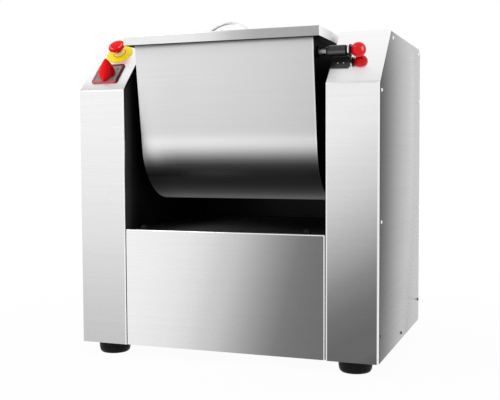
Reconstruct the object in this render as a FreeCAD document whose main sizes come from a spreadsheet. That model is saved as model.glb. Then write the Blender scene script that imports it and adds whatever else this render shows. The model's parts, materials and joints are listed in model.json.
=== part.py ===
import FreeCAD, Part
import math
import os

import Sketcher
from FreeCAD import Placement, Rotation, Vector

# Dough mixer with a tilting trough between two columns.
# X to the right, Y to the back, Z up, in millimetres; the origin is on the floor under the middle.

SIZES = [
    # housing
    ("house_width", 700, "over both columns"),
    ("house_depth", 510, "front of the columns to the back"),
    ("column_width", 114, "one column, inner face to outer face"),
    ("foot_height", 28, "floor to the underside of the housing"),
    ("front_height", 582, "upright front of a column"),
    ("slope_length", 169.706, "control slope, measured along it"),
    ("slope_angle", 45, "control slope from level, degrees"),
    ("rear_bevel", 15, "bevel at the top of the back"),
    ("skin", 1.5, "stainless sheet"),
    ("plate", 3, "black side plates and rails"),
    ("panel_height", 266, "front panel"),
    ("panel_fold", 25, "folded edges of the front panel"),
    ("rear_inset", 30, "rear panel, in from the back of the columns"),
    ("rear_height", 660, "rear panel"),
    ("shelf_gap", 23, "shelf of the rear panel behind the lid"),
    ("shelf_lip", 15, "lip at the front of the shelf"),
    ("rail_height", 40, "base rails"),
    ("rail_width", 30, "flanges of the base rails"),
    ("tray_wall", 25, "upstands of the base trays"),
    ("deck_lip", 20, "lip of the deck tray"),
    ("foot_radius", 36.5, "rubber foot at its widest"),
    ("foot_inset_x", 60, "foot axis in from the side"),
    ("foot_inset_y", 45, "foot axis in from the front and back"),
    ("stop_radius", 8.5, "rubber drum stop"),
    ("stop_height", 10, "drum stop above the front panel"),
    ("stop_inset", 44, "drum stop in from a column"),
    ("screw_head", 4, "radius of a cover screw head"),
    ("screw_proud", 2, "cover screw head over the cover"),
    ("screw_shank", 2, "radius of a cover screw"),
    ("screw_length", 8, "cover screw under its head"),
    ("screw_gap", 0.1, "clearance round a screw in its hole"),
    ("screw_inset", 16, "cover screws in from the cover's edge"),
    # drum and lid
    ("drum_back", 170, "drum axis behind the column front"),
    ("drum_rise", 467, "drum axis above the underside of the housing"),
    ("drum_radius", 136, "round bottom of the drum"),
    ("drum_flare", 7.8, "drum walls from upright, degrees"),
    ("rim_rise", 231, "drum rim above its axis"),
    ("end_room", 28, "drum shell end to the inner face of a column"),
    ("drum_sheet", 2, "drum shell sheet"),
    ("end_plate", 8, "cast drum end"),
    ("end_inset", 1, "cast drum end in from the shell's end"),
    ("hub_radius", 56, "hub of a drum end"),
    ("bush_wall", 4, "bush between hub and nose"),
    ("seal_wall", 5, "shaft seal"),
    ("nose_radius", 42, "nose that the drum turns on"),
    ("nose_reach", 18, "nose past the side plate"),
    ("nose_flange", 66, "flange radius of a bearing housing"),
    ("flange_depth", 12, "flange thickness of a bearing housing"),
    ("running_gap", 0.05, "radial clearance of a running fit"),
    ("bearing_radius", 31, "outside of a shaft bearing"),
    ("bearing_width", 16, "shaft bearing"),
    ("lid_overhang", 15, "lid front before the column front"),
    ("lid_side", 9.5, "lid edge to the inner face of a column"),
    ("lid_rear", 6, "lid behind the drum rim"),
    ("lid_flange", 21, "folded edge of the lid"),
    ("lid_gap", 0.5, "lid over the drum rim"),
    ("hinge_out", 7, "hinge axis behind the drum rim"),
    ("hinge_drop", 6, "hinge axis under the drum rim"),
    ("knuckle_radius", 5, "hinge knuckle"),
    ("pin_radius", 2.5, "hinge pin"),
    ("hinge_spread", 140, "hinge from the middle"),
    ("knuckle_length", 24, "one hinge knuckle"),
    ("knuckle_gap", 0.5, "between knuckles"),
    ("leaf", 4, "hinge leaf"),
    ("leaf_height", 40, "hinge leaf down the drum wall"),
    ("strap_sheet", 2, "hinge strap on the lid"),
    ("strap_reach", 34, "hinge strap over the lid"),
    ("bow_half", 52, "lid handle, half the span"),
    ("bow_rise", 22, "rise of the handle's arc"),
    ("bow_rod", 3, "radius of the handle rod"),
    ("bow_back", 78.5, "handle behind the lid front"),
    ("bow_foot", 8, "radius of a handle foot"),
    ("bow_pad", 4, "thickness of a handle foot"),
    # stirrer and drive
    ("shaft_radius", 17.5, "agitator shaft in the drum"),
    ("journal_radius", 15, "agitator shaft in its bearings"),
    ("arm_radius", 8, "stirrer arm"),
    ("arm_count", 4, "stirrer arms"),
    ("blade_reach", 124, "tip of a stirrer blade from the axis"),
    ("blade_height", 34, "stirrer blade, along its arm"),
    ("blade_side", 8, "stirrer blade clear of its share of the drum, each side"),
    ("blade_sheet", 8, "stirrer blade"),
    ("blade_pitch", 28, "stirrer blade from straight, degrees"),
    ("gear_module", 2.5, "all gears"),
    ("gear_play", 0.2, "tooth thinned on each flank"),
    ("wheel_teeth", 72, "both large gears"),
    ("slow_teeth", 18, "pinion at the main gear"),
    ("fast_teeth", 17, "pinion on the pulley shaft"),
    ("slow_face", 25, "face width of the slow pair"),
    ("fast_face", 18, "face width of the fast pair"),
    ("slow_angle", -50, "from the agitator to the slow shaft, degrees"),
    ("fast_angle", -45, "from the slow shaft to the fast shaft, degrees"),
    ("counter_radius", 10, "countershafts"),
    ("counter_journal", 7.5, "countershaft ends"),
    ("counter_bearing", 17.5, "outside of a countershaft bearing"),
    ("counter_width", 11, "countershaft bearing"),
    ("axial_gap", 2, "between things that turn side by side"),
    ("key_gap", 1, "between a shaft end and what it faces"),
    ("gearbox_sheet", 6, "gearbox plate"),
    ("gearbox_margin", 18, "gearbox plate round its posts"),
    ("post_radius", 7, "spacer posts"),
    ("web", 6, "web of a large gear"),
    ("rim", 12, "rim of a large gear inside its teeth"),
    ("gear_hub", 26, "hub radius of a large gear"),
    ("pulley_width", 16, "belt pulleys"),
    ("large_pulley_radius", 85, "driven pulley"),
    ("small_pulley_radius", 35, "motor pulley"),
    ("belt_thickness", 6, "drive belt"),
    ("belt_gap", 0.3, "belt clear of the pulleys"),
    ("belt_side", 2, "pulley flange beside the belt"),
    ("motor_back", 307.5, "motor axis behind the column front"),
    ("motor_rise", 125, "motor axis above the underside of the housing"),
    ("motor_radius", 66, "motor frame without its fins"),
    ("motor_length", 190, "motor frame"),
    ("motor_flange", 80, "radius of the motor flange"),
    ("motor_flange_depth", 12, "motor flange"),
    ("motor_shaft_radius", 12, "motor shaft"),
    ("spigot_radius", 40, "motor spigot in the side plate"),
    ("fin_height", 8, "cooling fin"),
    ("fin_width", 4, "cooling fin"),
    ("fin_count", 20, "cooling fins"),
    ("fan_cover_length", 55, "motor fan cover"),
    ("fan_cover_radius", 72, "motor fan cover"),
    ("box_length", 80, "motor terminal box"),
    ("box_height", 34, "motor terminal box over the frame"),
    ("bolt_head", 6.5, "bolt head radius"),
    ("bolt_head_height", 5, "bolt head"),
    ("bolt_count", 4, "bolts to a housing"),
    # latch
    ("latch_back", 47.2, "latch axis behind the column front"),
    ("latch_over", 17.2, "latch axis off the slope"),
    ("tube_radius", 11.5, "black latch tube"),
    ("tube_in", 7, "latch tube in from the column's inner face"),
    ("tube_length", 39, "latch tube"),
    ("socket_radius", 10.8, "recess in the tube's outer end"),
    ("latch_pin_radius", 5.2, "latch pin"),
    ("stem_radius", 3.5, "latch pin inside the ball"),
    ("sleeve_radius", 9.8, "sleeve on the latch pin"),
    ("sleeve_gap", 0.8, "sleeve to the latch tube, parked"),
    ("latch_travel", 7, "latch pin stroke"),
    ("grip_collar", 12.3, "radius of the collar at the ball"),
    ("grip_collar_width", 3.8, "collar at the ball"),
    ("boss_radius", 13, "boss round the latch bush"),
    ("boss_height", 3, "boss round the latch bush"),
    ("latch_bush", 8.5, "radius of the steel bush that takes the latch pin"),
    ("bush_bore", 7.2, "bore of the latch bush"),
    ("bush_gap", 3, "latch bush to the latch tube"),
    ("ball_radius", 16, "latch ball"),
    ("ball_reach", 58.4, "latch ball from the column's inner face"),
    ("ball_flat", 15, "flat of the ball from its middle"),
    ("saddle_start", 1.5, "saddle in from the column's inner face"),
    ("saddle_width", 30.5, "saddle under the latch tube"),
    # switch and stop button
    ("button_inset", 56.5, "stop button axis in from the outer face"),
    ("switch_inset", 57.5, "switch axis in from the outer face"),
    ("switch_up", 53, "switch up the slope"),
    ("switch_half", 32, "half the switch plate across"),
    ("switch_tall", 29.5, "half the switch plate up the slope"),
    ("switch_sheet", 3, "switch plate"),
    ("switch_face", 25, "radius of the raised switch face"),
    ("switch_rise", 1.5, "raised switch face"),
    ("knob_radius", 19, "switch knob"),
    ("knob_base", 8, "skirt of the switch knob"),
    ("knob_height", 37, "switch knob"),
    ("grip_half", 6, "half width of the knob's grip"),
    ("grip_nose", 12, "grip past the skirt, at its pointer"),
    ("grip_tip", 4, "top of the pointer above the skirt"),
    ("spindle_radius", 4, "switch spindle"),
    ("spindle_depth", 14, "switch spindle in the switch body"),
    ("panel_gap", 0.5, "hole round the switch spindle"),
    ("switch_depth", 42, "switch body under the slope"),
    ("switch_body_half", 26, "half the switch body"),
    ("stop_up", 131, "stop button up the slope"),
    ("ring_radius", 31, "yellow ring"),
    ("ring_sheet", 2.5, "yellow ring"),
    ("barrel_radius", 11, "stop button barrel"),
    ("collar_radius", 14, "collar of the stop button"),
    ("collar_height", 9, "collar of the stop button"),
    ("stop_depth", 46, "stop button body under the slope"),
    ("plunger_radius", 6, "stop button plunger"),
    ("stop_travel", 5, "stroke of the stop button"),
    ("head_radius", 20, "mushroom head"),
    ("head_height", 15, "mushroom head"),
    ("head_neck", 13, "neck radius of the mushroom head"),
    # cable gland
    ("gland_x", 150, "cable gland from the middle"),
    ("gland_rise", 60, "cable gland above the underside of the housing"),
    ("gland_radius", 11, "cable gland"),
    ("gland_bore", 4.5, "hole for the cord"),
    ("gland_reach", 24, "cable gland behind the rear panel"),
]

doc = FreeCAD.newDocument("DoughMixer")
sheet = doc.addObject("Spreadsheet::Sheet", "Sizes")
for row, (alias, number, note) in enumerate(SIZES, start=1):
    sheet.set(f"A{row}", note)
    sheet.set(f"B{row}", str(number))
    sheet.setAlias(f"B{row}", alias)
doc.recompute()


class Size:
    """A length, number or angle: its formula on the sheet and what it comes to."""

    def __init__(self, text, number):
        self.text = text
        self.number = number

    def __add__(self, other):
        other = size(other)
        return Size(f"({self.text} + {other.text})", self.number + other.number)

    def __sub__(self, other):
        other = size(other)
        return Size(f"({self.text} - {other.text})", self.number - other.number)

    def __mul__(self, other):
        other = size(other)
        return Size(f"({self.text} * {other.text})", self.number * other.number)

    def __truediv__(self, other):
        other = size(other)
        return Size(f"({self.text} / {other.text})", self.number / other.number)

    def __radd__(self, other):
        return size(other) + self

    def __rsub__(self, other):
        return size(other) - self

    def __rmul__(self, other):
        return size(other) * self

    def __rtruediv__(self, other):
        return size(other) / self

    def __neg__(self):
        return Size(f"(0 - {self.text})", -self.number)


class Sheet:
    """The named sizes, as s.name."""

    def __getattr__(self, name):
        return Size(f"Sizes.{name}", float(sheet.get(name)))


def size(value):
    if isinstance(value, Size):
        return value
    return Size(f"({value!r})" if value < 0 else repr(value), float(value))


def sin(angle):
    angle = size(angle)
    return Size(f"sin({angle.text} * 1 deg)", math.sin(math.radians(angle.number)))


def cos(angle):
    angle = size(angle)
    return Size(f"cos({angle.text} * 1 deg)", math.cos(math.radians(angle.number)))


def tan(angle):
    angle = size(angle)
    return Size(f"tan({angle.text} * 1 deg)", math.tan(math.radians(angle.number)))


def asin(ratio):
    return Size(f"(asin({ratio.text}) / 1 deg)", math.degrees(math.asin(ratio.number)))


def acos(ratio):
    return Size(f"(acos({ratio.text}) / 1 deg)", math.degrees(math.acos(ratio.number)))


def root(square):
    return Size(f"sqrt({square.text})", math.sqrt(square.number))


def bind(thing, prop, value):
    """Ties one property of an object to its formula."""
    value = size(value)
    thing.setExpression(prop, value.text)


X_AXIS = Vector(1, 0, 0)
Y_AXIS = Vector(0, 1, 0)
Z_AXIS = Vector(0, 0, 1)


def place(thing, at, axis=X_AXIS, angle=0):
    """Puts an object at a point, turned by an angle about an axis through its own origin."""
    angle = size(angle)
    numbers = [size(value).number for value in at]
    thing.Placement = Placement(Vector(*numbers), Rotation(axis, angle.number))
    if angle.number:
        bind(thing, "Placement.Rotation.Angle", angle)
    for letter, value in zip("xyz", at):
        bind(thing, f"Placement.Base.{letter}", value)


def box(name, x, y, z):
    """A block between the low and high ends given for each axis."""
    block = doc.addObject("Part::Box", name)
    for prop, (low, high) in zip(("Length", "Width", "Height"), (x, y, z)):
        bind(block, prop, size(high) - low)
    place(block, (x[0], y[0], z[0]))
    return block


def rod(name, at, radius, length, axis=X_AXIS, angle=0):
    """A round bar that stands on a point, along Z before it is turned."""
    bar = doc.addObject("Part::Cylinder", name)
    bind(bar, "Radius", radius)
    bind(bar, "Height", length)
    place(bar, at, axis, angle)
    return bar


def cut(name, base, tools):
    """The base less the tools."""
    tool = tools[0] if len(tools) == 1 else fuse(name + "_tool", tools)
    result = doc.addObject("Part::Cut", name)
    result.Base = base
    result.Tool = tool
    return result


def fuse(name, pieces):
    result = doc.addObject("Part::MultiFuse", name)
    result.Shapes = pieces
    return result


def group(name, pieces):
    """Separate solids of one kind, kept together under one name."""
    result = doc.addObject("Part::Compound", name)
    result.Links = pieces
    return result


class Circle:
    """A full circle in a sketch."""

    def __init__(self, x, y, radius):
        self.x = size(x)
        self.y = size(y)
        self.radius = size(radius)


def fix_point(sketch, index, end, x, y):
    """Ties a point of a sketch to its place from the sketch's origin."""
    for kind, value in (("DistanceX", x), ("DistanceY", y)):
        number = sketch.addConstraint(Sketcher.Constraint(kind, -1, 1, index, end, value.number))
        bind(sketch, f"Constraints[{number}]", value)


def fix_radius(sketch, index, radius):
    number = sketch.addConstraint(Sketcher.Constraint("Radius", index, radius.number))
    bind(sketch, f"Constraints[{number}]", radius)


def draw_polygon(sketch, points):
    points = [(size(x), size(y)) for x, y in points]
    corners = [Vector(x.number, y.number, 0) for x, y in points]
    first = sketch.GeometryCount
    count = len(points)
    for step in range(count):
        sketch.addGeometry(Part.LineSegment(corners[step], corners[(step + 1) % count]), False)
    for step in range(count):
        after = first + (step + 1) % count
        sketch.addConstraint(Sketcher.Constraint("Coincident", first + step, 2, after, 1))
    for step, (x, y) in enumerate(points):
        fix_point(sketch, first + step, 1, x, y)


def draw_circle(sketch, circle):
    centre = Vector(circle.x.number, circle.y.number, 0)
    index = sketch.addGeometry(Part.Circle(centre, Z_AXIS, circle.radius.number), False)
    fix_radius(sketch, index, circle.radius)
    fix_point(sketch, index, 3, circle.x, circle.y)


class Trough:
    """The outline of the drum: two flared walls tangent to a round bottom, closed along the rim."""

    def __init__(self, radius, rim):
        self.radius = size(radius)
        self.rim = size(rim)
        self.lip = trough_half(self.radius, self.rim)

    def draw(self, sketch):
        flare = math.radians(s.drum_flare.number)
        radius = self.radius.number
        lip = self.lip.number
        rim = self.rim.number
        tangent_y = radius * math.cos(flare)
        tangent_z = -radius * math.sin(flare)
        front_lip = Vector(-lip, rim, 0)
        back_lip = Vector(lip, rim, 0)
        front_foot = Vector(-tangent_y, tangent_z, 0)
        back_foot = Vector(tangent_y, tangent_z, 0)
        circle = Part.Circle(Vector(0, 0, 0), Z_AXIS, radius)
        front = sketch.addGeometry(Part.LineSegment(front_lip, front_foot), False)
        bottom = Part.ArcOfCircle(circle, math.pi + flare, 2 * math.pi - flare)
        bottom = sketch.addGeometry(bottom, False)
        back = sketch.addGeometry(Part.LineSegment(back_foot, back_lip), False)
        top = sketch.addGeometry(Part.LineSegment(back_lip, front_lip), False)
        sketch.addConstraint(Sketcher.Constraint("Tangent", front, 2, bottom, 1))
        sketch.addConstraint(Sketcher.Constraint("Tangent", bottom, 2, back, 1))
        sketch.addConstraint(Sketcher.Constraint("Coincident", back, 2, top, 1))
        sketch.addConstraint(Sketcher.Constraint("Coincident", top, 2, front, 1))
        sketch.addConstraint(Sketcher.Constraint("Coincident", bottom, 3, -1, 1))
        fix_radius(sketch, bottom, self.radius)
        fix_point(sketch, front, 1, -self.lip, self.rim)
        fix_point(sketch, back, 2, self.lip, self.rim)


class BeltLoop:
    """The outline round two pulleys: two arcs and the two straights that touch both."""

    def __init__(self, first, second):
        self.first = first
        self.second = second

    def draw(self, sketch):
        one = self.first
        two = self.second
        centre_one = Vector(one.x.number, one.y.number, 0)
        centre_two = Vector(two.x.number, two.y.number, 0)
        span = centre_two - centre_one
        heading = math.atan2(span.y, span.x)
        half = math.acos((one.radius.number - two.radius.number) / span.Length)
        arcs = []
        starts = ((centre_one, one, heading + half, heading + 2 * math.pi - half),
                  (centre_two, two, heading - half, heading + half))
        for centre, circle, start, end in starts:
            full = Part.Circle(centre, Z_AXIS, circle.radius.number)
            arcs.append(sketch.addGeometry(Part.ArcOfCircle(full, start, end), False))
        ends = [[sketch.getPoint(arc, end) for end in (1, 2)] for arc in arcs]
        lower = sketch.addGeometry(Part.LineSegment(ends[0][1], ends[1][0]), False)
        upper = sketch.addGeometry(Part.LineSegment(ends[1][1], ends[0][0]), False)
        sketch.addConstraint(Sketcher.Constraint("Tangent", arcs[0], 2, lower, 1))
        sketch.addConstraint(Sketcher.Constraint("Tangent", lower, 2, arcs[1], 1))
        sketch.addConstraint(Sketcher.Constraint("Tangent", arcs[1], 2, upper, 1))
        sketch.addConstraint(Sketcher.Constraint("Tangent", upper, 2, arcs[0], 1))
        for arc, circle in zip(arcs, (one, two)):
            fix_radius(sketch, arc, circle.radius)
            fix_point(sketch, arc, 3, circle.x, circle.y)


def draw(sketch, outline):
    if isinstance(outline, Circle):
        draw_circle(sketch, outline)
    elif isinstance(outline, list):
        draw_polygon(sketch, outline)
    else:
        outline.draw(sketch)


class Piece:
    """One piece made feature by feature; its sketches lie on its own origin planes."""

    def __init__(self, name, at=(0, 0, 0), axis=X_AXIS, angle=0):
        self.body = doc.addObject("PartDesign::Body", name)
        self.name = name
        self.steps = 0
        place(self.body, at, axis, angle)

    def sketch(self, plane, outlines, offset=0):
        self.steps += 1
        result = self.body.newObject("Sketcher::SketchObject", f"{self.name}_sketch_{self.steps}")
        origin = [item for item in self.body.Origin.OriginFeatures if item.Role == plane][0]
        result.AttachmentSupport = [(origin, "")]
        result.MapMode = "FlatFace"
        bind(result, "AttachmentOffset.Base.z", offset)
        for outline in outlines:
            draw(result, outline)
        return result

    def pad(self, plane, outlines, low, high):
        """Adds the outlines, from one distance to another along the plane's normal."""
        profile = self.sketch(plane, outlines, low)
        feature = self.body.newObject("PartDesign::Pad", f"{self.name}_pad_{self.steps}")
        feature.Profile = profile
        bind(feature, "Length", size(high) - low)
        profile.Visibility = False
        self.last = feature
        return self

    def pocket(self, plane, outlines, low, high):
        """Cuts the outlines away, from one distance to another along the plane's normal."""
        doc.recompute()
        before = self.body.Shape.Volume
        profile = self.sketch(plane, outlines, low)
        feature = self.body.newObject("PartDesign::Pocket", f"{self.name}_pocket_{self.steps}")
        feature.Profile = profile
        feature.Reversed = True
        bind(feature, "Length", size(high) - low)
        doc.recompute()
        self.last = feature
        if self.body.Shape.Volume >= before:
            raise ValueError(f"{self.name}: a pocket cut nothing")
        return self

    def turn(self, outline, axis="H_Axis"):
        """Adds a turned form; the outline is along and out from the axis, on the X and Z plane."""
        profile = self.sketch("XZ_Plane", [outline])
        feature = self.body.newObject("PartDesign::Revolution", f"{self.name}_turn_{self.steps}")
        feature.Profile = profile
        feature.ReferenceAxis = (profile, [axis])
        feature.Angle = 360
        self.last = feature
        return self

    def ring_pattern(self, count, sketch_axis="N_Axis"):
        """Repeats the last feature round its sketch's normal."""
        doc.recompute()
        pattern = self.body.newObject("PartDesign::PolarPattern", f"{self.name}_ring_{self.steps}")
        pattern.Originals = [self.last]
        pattern.Axis = (self.last.Profile[0], [sketch_axis])
        pattern.Angle = 360
        bind(pattern, "Occurrences", count)
        self.body.Tip = pattern
        return self


nodes = {}


def keep(thing):
    """Marks an object as a finished sub-part."""
    body = thing.body if isinstance(thing, Piece) else thing
    nodes[body.Label] = body
    return thing


def turned(name, outline, at, axis="H_Axis", tilt=0):
    return keep(Piece(name, at, X_AXIS, tilt).turn(outline, axis))


s = Sheet()


def trough_half(radius, rim):
    """Half the drum's width at a height above its axis."""
    return radius / cos(s.drum_flare) + rim * tan(s.drum_flare)


# Places that several pieces share
outer_x = s.house_width / 2
inner_x = outer_x - s.column_width
plate_x = inner_x + s.plate
cover_x = outer_x - s.skin
front = (s.lid_overhang - s.house_depth) / 2
back = front + s.house_depth
base = s.foot_height
slope_run = s.slope_length * cos(s.slope_angle)
slope_rise = s.slope_length * sin(s.slope_angle)
slope_foot = base + s.front_height
top = slope_foot + slope_rise
drum_y = front + s.drum_back
drum_z = base + s.drum_rise
rim_z = drum_z + s.rim_rise
drum_half = inner_x - s.end_room
end_outside = drum_half - s.end_inset
end_inside = end_outside - s.end_plate
hub_end = inner_x - s.key_gap * 2
lid_front = front - s.lid_overhang
lid_back = drum_y + trough_half(s.drum_radius, s.rim_rise) + s.lid_rear
lid_top = rim_z + s.lid_gap + s.skin
panel_top = base + s.panel_height
rear_y = back - s.rear_inset
latch_y = front + s.latch_back
latch_z = slope_foot + s.latch_back * tan(s.slope_angle) + s.latch_over / cos(s.slope_angle)
tube_start = inner_x - s.tube_in
ball_x = inner_x + s.ball_reach


def span(side, low, high):
    """A stretch of X on the right side, or its mirror image on the left."""
    if side == "right":
        return size(low), size(high)
    return -size(high), -size(low)


def signed(side, distance):
    return size(distance) if side == "right" else -size(distance)


def column_points(offset):
    """The column's outline from its front foot to its back foot, set in by an offset."""
    front_corner = offset * tan((90 - s.slope_angle) / 2)
    slope_corner = offset * tan(s.slope_angle / 2)
    bevel_corner = offset * tan(size(45) / 2)
    return [
        (front + offset, base),
        (front + offset, slope_foot - front_corner),
        (front + slope_run + slope_corner, top - offset),
        (back - s.rear_bevel - bevel_corner, top - offset),
        (back - offset, top - s.rear_bevel - bevel_corner),
        (back - offset, base),
    ]


def slope_at(inset, up, out=0):
    """A point of the left slope: in from the outer face, up the slope and out from it."""
    y = front + up * cos(s.slope_angle) - out * sin(s.slope_angle)
    z = slope_foot + up * sin(s.slope_angle) + out * cos(s.slope_angle)
    return (inset - outer_x, y, z)


def cover_screw_places():
    """Screws round a side cover, two rows up the edges and a few along the ends."""
    inset = s.screw_inset
    height = top - base
    edge_low = base + height * 0.08
    edge_mid = base + height * 0.42
    edge_high = slope_foot - inset
    middle = (front + back) / 2
    return [
        (front + inset, edge_low),
        (front + inset, edge_mid),
        (front + inset, edge_high),
        (front + slope_run + inset, top - inset),
        (back - inset * 2, top - inset),
        (back - inset, edge_high),
        (back - inset, edge_mid),
        (back - inset, edge_low),
        (middle, base + inset),
    ]


def make_columns():
    for side in ("left", "right"):
        plate = column_points(s.skin)
        hole = Circle(drum_y, drum_z, s.nose_radius + s.running_gap)
        outlines = [plate, hole]
        if side == "right":
            motor_y = front + s.motor_back
            motor_z = base + s.motor_rise
            outlines.append(Circle(motor_y, motor_z, s.spigot_radius + s.running_gap))
        low, high = span(side, inner_x, plate_x)
        keep(Piece(f"{side}_side_plate").pad("YZ_Plane", outlines, low, high))
        wrap = column_points(size(0)) + column_points(s.skin)[::-1]
        low, high = span(side, inner_x, cover_x)
        if side == "right":
            keep(Piece("right_column_skin").pad("YZ_Plane", [wrap], low, high))
        else:
            # holes for the rotary switch and the stop button, square to the slope
            bent = Piece("left_column_bend").pad("YZ_Plane", [wrap], low, high)
            switch_at = slope_at(s.switch_inset, s.switch_up, -s.plate)
            stop_at = slope_at(s.button_inset, s.stop_up, -s.plate)
            bores = [
                rod("switch_bore", switch_at, s.spindle_radius + s.panel_gap, s.plate * 2, X_AXIS,
                    s.slope_angle),
                rod("stop_bore", stop_at, s.barrel_radius + s.running_gap, s.plate * 2, X_AXIS,
                    s.slope_angle),
            ]
            keep(cut("left_column_skin", bent.body, bores))
        low, high = span(side, cover_x, outer_x)
        holes = [Circle(y, z, s.screw_shank + s.screw_gap) for y, z in cover_screw_places()]
        keep(Piece(f"{side}_side_cover").pad("YZ_Plane", [column_points(size(0))] + holes, low, high))


def make_cover_screws():
    screws = []
    for side in ("left", "right"):
        turn = 90 if side == "right" else -90
        for number, (y, z) in enumerate(cover_screw_places()):
            profile = [
                (0, -s.screw_length),
                (s.screw_shank, -s.screw_length),
                (s.screw_shank, 0),
                (s.screw_head, 0),
                (s.screw_head * 0.6, s.screw_proud),
                (0, s.screw_proud),
            ]
            place_at = (signed(side, outer_x), y, z)
            screw = Piece(f"cover_screw_{side}_{number}", place_at, Y_AXIS, turn)
            screws.append(screw.turn(profile, "V_Axis").body)
    keep(group("side_cover_screws", screws))


def make_middle_panels():
    fold = front + s.panel_fold
    under = panel_top - s.skin
    profile = [
        (front, base), (front, panel_top), (fold, panel_top), (fold, under),
        (front + s.skin, under), (front + s.skin, base + s.skin), (fold, base + s.skin), (fold, base),
    ]
    keep(Piece("front_panel").pad("YZ_Plane", [profile], -inner_x, inner_x))
    rear_top = base + s.rear_height
    shelf = lid_back + s.shelf_gap
    profile = [
        (rear_y, base), (rear_y, rear_top), (shelf, rear_top), (shelf, rear_top - s.shelf_lip),
        (shelf + s.skin, rear_top - s.shelf_lip), (shelf + s.skin, rear_top - s.skin),
        (rear_y - s.skin, rear_top - s.skin), (rear_y - s.skin, base),
    ]
    hole = Circle(s.gland_x, base + s.gland_rise, s.gland_bore + s.skin)
    panel = Piece("rear_panel").pad("YZ_Plane", [profile], -inner_x, inner_x)
    keep(panel.pocket("XZ_Plane", [hole], -rear_y, -rear_y + s.skin))
    deck_front = front + s.skin
    deck_back = rear_y - s.skin
    deck_low = under - s.deck_lip
    profile = [
        (deck_front, deck_low), (deck_front, under), (deck_back, under), (deck_back, deck_low),
        (deck_back - s.skin, deck_low), (deck_back - s.skin, under - s.skin),
        (deck_front + s.skin, under - s.skin), (deck_front + s.skin, deck_low),
    ]
    keep(Piece("deck_tray").pad("YZ_Plane", [profile], -inner_x, inner_x))


def channel(wall, low, high, open_to):
    """A rail's C section: its web at the wall, its flanges towards the open side."""
    web = open_to * s.plate
    tip = open_to * s.rail_width
    return [
        (wall, low), (wall + tip, low), (wall + tip, low + s.plate), (wall + web, low + s.plate),
        (wall + web, high - s.plate), (wall + tip, high - s.plate), (wall + tip, high), (wall, high),
    ]


def make_base():
    low = base + s.skin
    high = low + s.rail_height
    front_rail = channel(front + s.skin, low, high, 1)
    rear_rail = channel(rear_y - s.skin, low, high, -1)
    keep(Piece("base_rail_front").pad("YZ_Plane", [front_rail], -inner_x, inner_x))
    keep(Piece("base_rail_rear").pad("YZ_Plane", [rear_rail], -inner_x, inner_x))
    start = front + s.skin
    end = back - s.skin
    wall = base + s.tray_wall
    floor = base + s.plate
    tray = [
        (start, base), (end, base), (end, wall), (end - s.plate, wall), (end - s.plate, floor),
        (start + s.plate, floor), (start + s.plate, wall), (start, wall),
    ]
    for side in ("left", "right"):
        low_x, high_x = span(side, plate_x, cover_x)
        keep(Piece(f"{side}_base_tray").pad("YZ_Plane", [tray], low_x, high_x))
    radius = s.foot_radius
    foot = [
        (0, 0), (radius * 0.76, 0), (radius * 0.9, base * 0.1), (radius * 0.98, base * 0.32),
        (radius, base * 0.6), (radius * 0.98, base), (0, base),
    ]
    feet = []
    for side in ("left", "right"):
        for end, y in (("front", front + s.foot_inset_y), ("rear", back - s.foot_inset_y)):
            at = (signed(side, outer_x - s.foot_inset_x), y, 0)
            feet.append(Piece(f"foot_{end}_{side}", at).turn(foot, "V_Axis").body)
    keep(group("rubber_feet", feet))
    stop = [
        (0, 0), (s.stop_radius, 0), (s.stop_radius, s.stop_height * 0.7),
        (s.stop_radius * 0.8, s.stop_height), (0, s.stop_height),
    ]
    stops = []
    for side in ("left", "right"):
        at = (signed(side, inner_x - s.stop_inset), front + s.stop_radius + s.plate, panel_top)
        stops.append(Piece(f"drum_stop_{side}", at).turn(stop, "V_Axis").body)
    keep(group("drum_stops", stops))


def make_bearing_housings():
    nose_end = inner_x - s.nose_reach
    flange_end = plate_x + s.flange_depth
    seat_start = flange_end - s.bearing_width
    bearings = []
    for side in ("left", "right"):
        turn = 0 if side == "right" else 180
        at = (0, drum_y, drum_z)
        shoulder = s.bearing_radius - s.seal_wall
        profile = [
            (nose_end, shoulder), (nose_end, s.nose_radius), (plate_x, s.nose_radius),
            (plate_x, s.nose_flange), (flange_end, s.nose_flange), (flange_end, s.bearing_radius),
            (seat_start, s.bearing_radius), (seat_start, shoulder),
        ]
        housing = Piece(f"{side}_bearing_housing", at, Z_AXIS, turn)
        keep(housing.turn(profile))
        ring = [
            (seat_start, s.journal_radius + s.running_gap), (flange_end, s.journal_radius + s.running_gap),
            (flange_end, s.bearing_radius), (seat_start, s.bearing_radius),
        ]
        bearings.append(Piece(f"shaft_bearing_{side}", at, Z_AXIS, turn).turn(ring).body)
    keep(group("shaft_bearings", bearings))


def bolt_ring(name, x, y, z, circle_radius, count, facing):
    """Bolts round a flange, each with its head on the flange and no further than its thickness."""
    bolts = []
    for number in range(count):
        angle = 45 + number * 360 / count
        at_y = y + circle_radius * cos(angle)
        at_z = z + circle_radius * sin(angle)
        head_end = x + facing * s.bolt_head_height
        start, length = (x, s.bolt_head_height) if facing > 0 else (head_end, s.bolt_head_height)
        bolts.append(rod(f"{name}_{number}", (start, at_y, at_z), s.bolt_head, length, Y_AXIS, 90))
    return bolts


def make_plate_bolts():
    count = int(s.bolt_count.number)
    flange_end = plate_x + s.flange_depth
    circle_radius = s.nose_flange - s.bolt_head - s.plate
    bolts = bolt_ring("bolt_right", flange_end, drum_y, drum_z, circle_radius, count, 1)
    bolts += bolt_ring("bolt_left", -flange_end, drum_y, drum_z, circle_radius, count, -1)
    motor_y = front + s.motor_back
    motor_z = base + s.motor_rise
    circle_radius = s.motor_flange - s.bolt_head - s.plate
    bolts += bolt_ring("bolt_motor", plate_x, motor_y, motor_z, circle_radius, count, 1)
    keep(group("plate_bolts", bolts))


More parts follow.
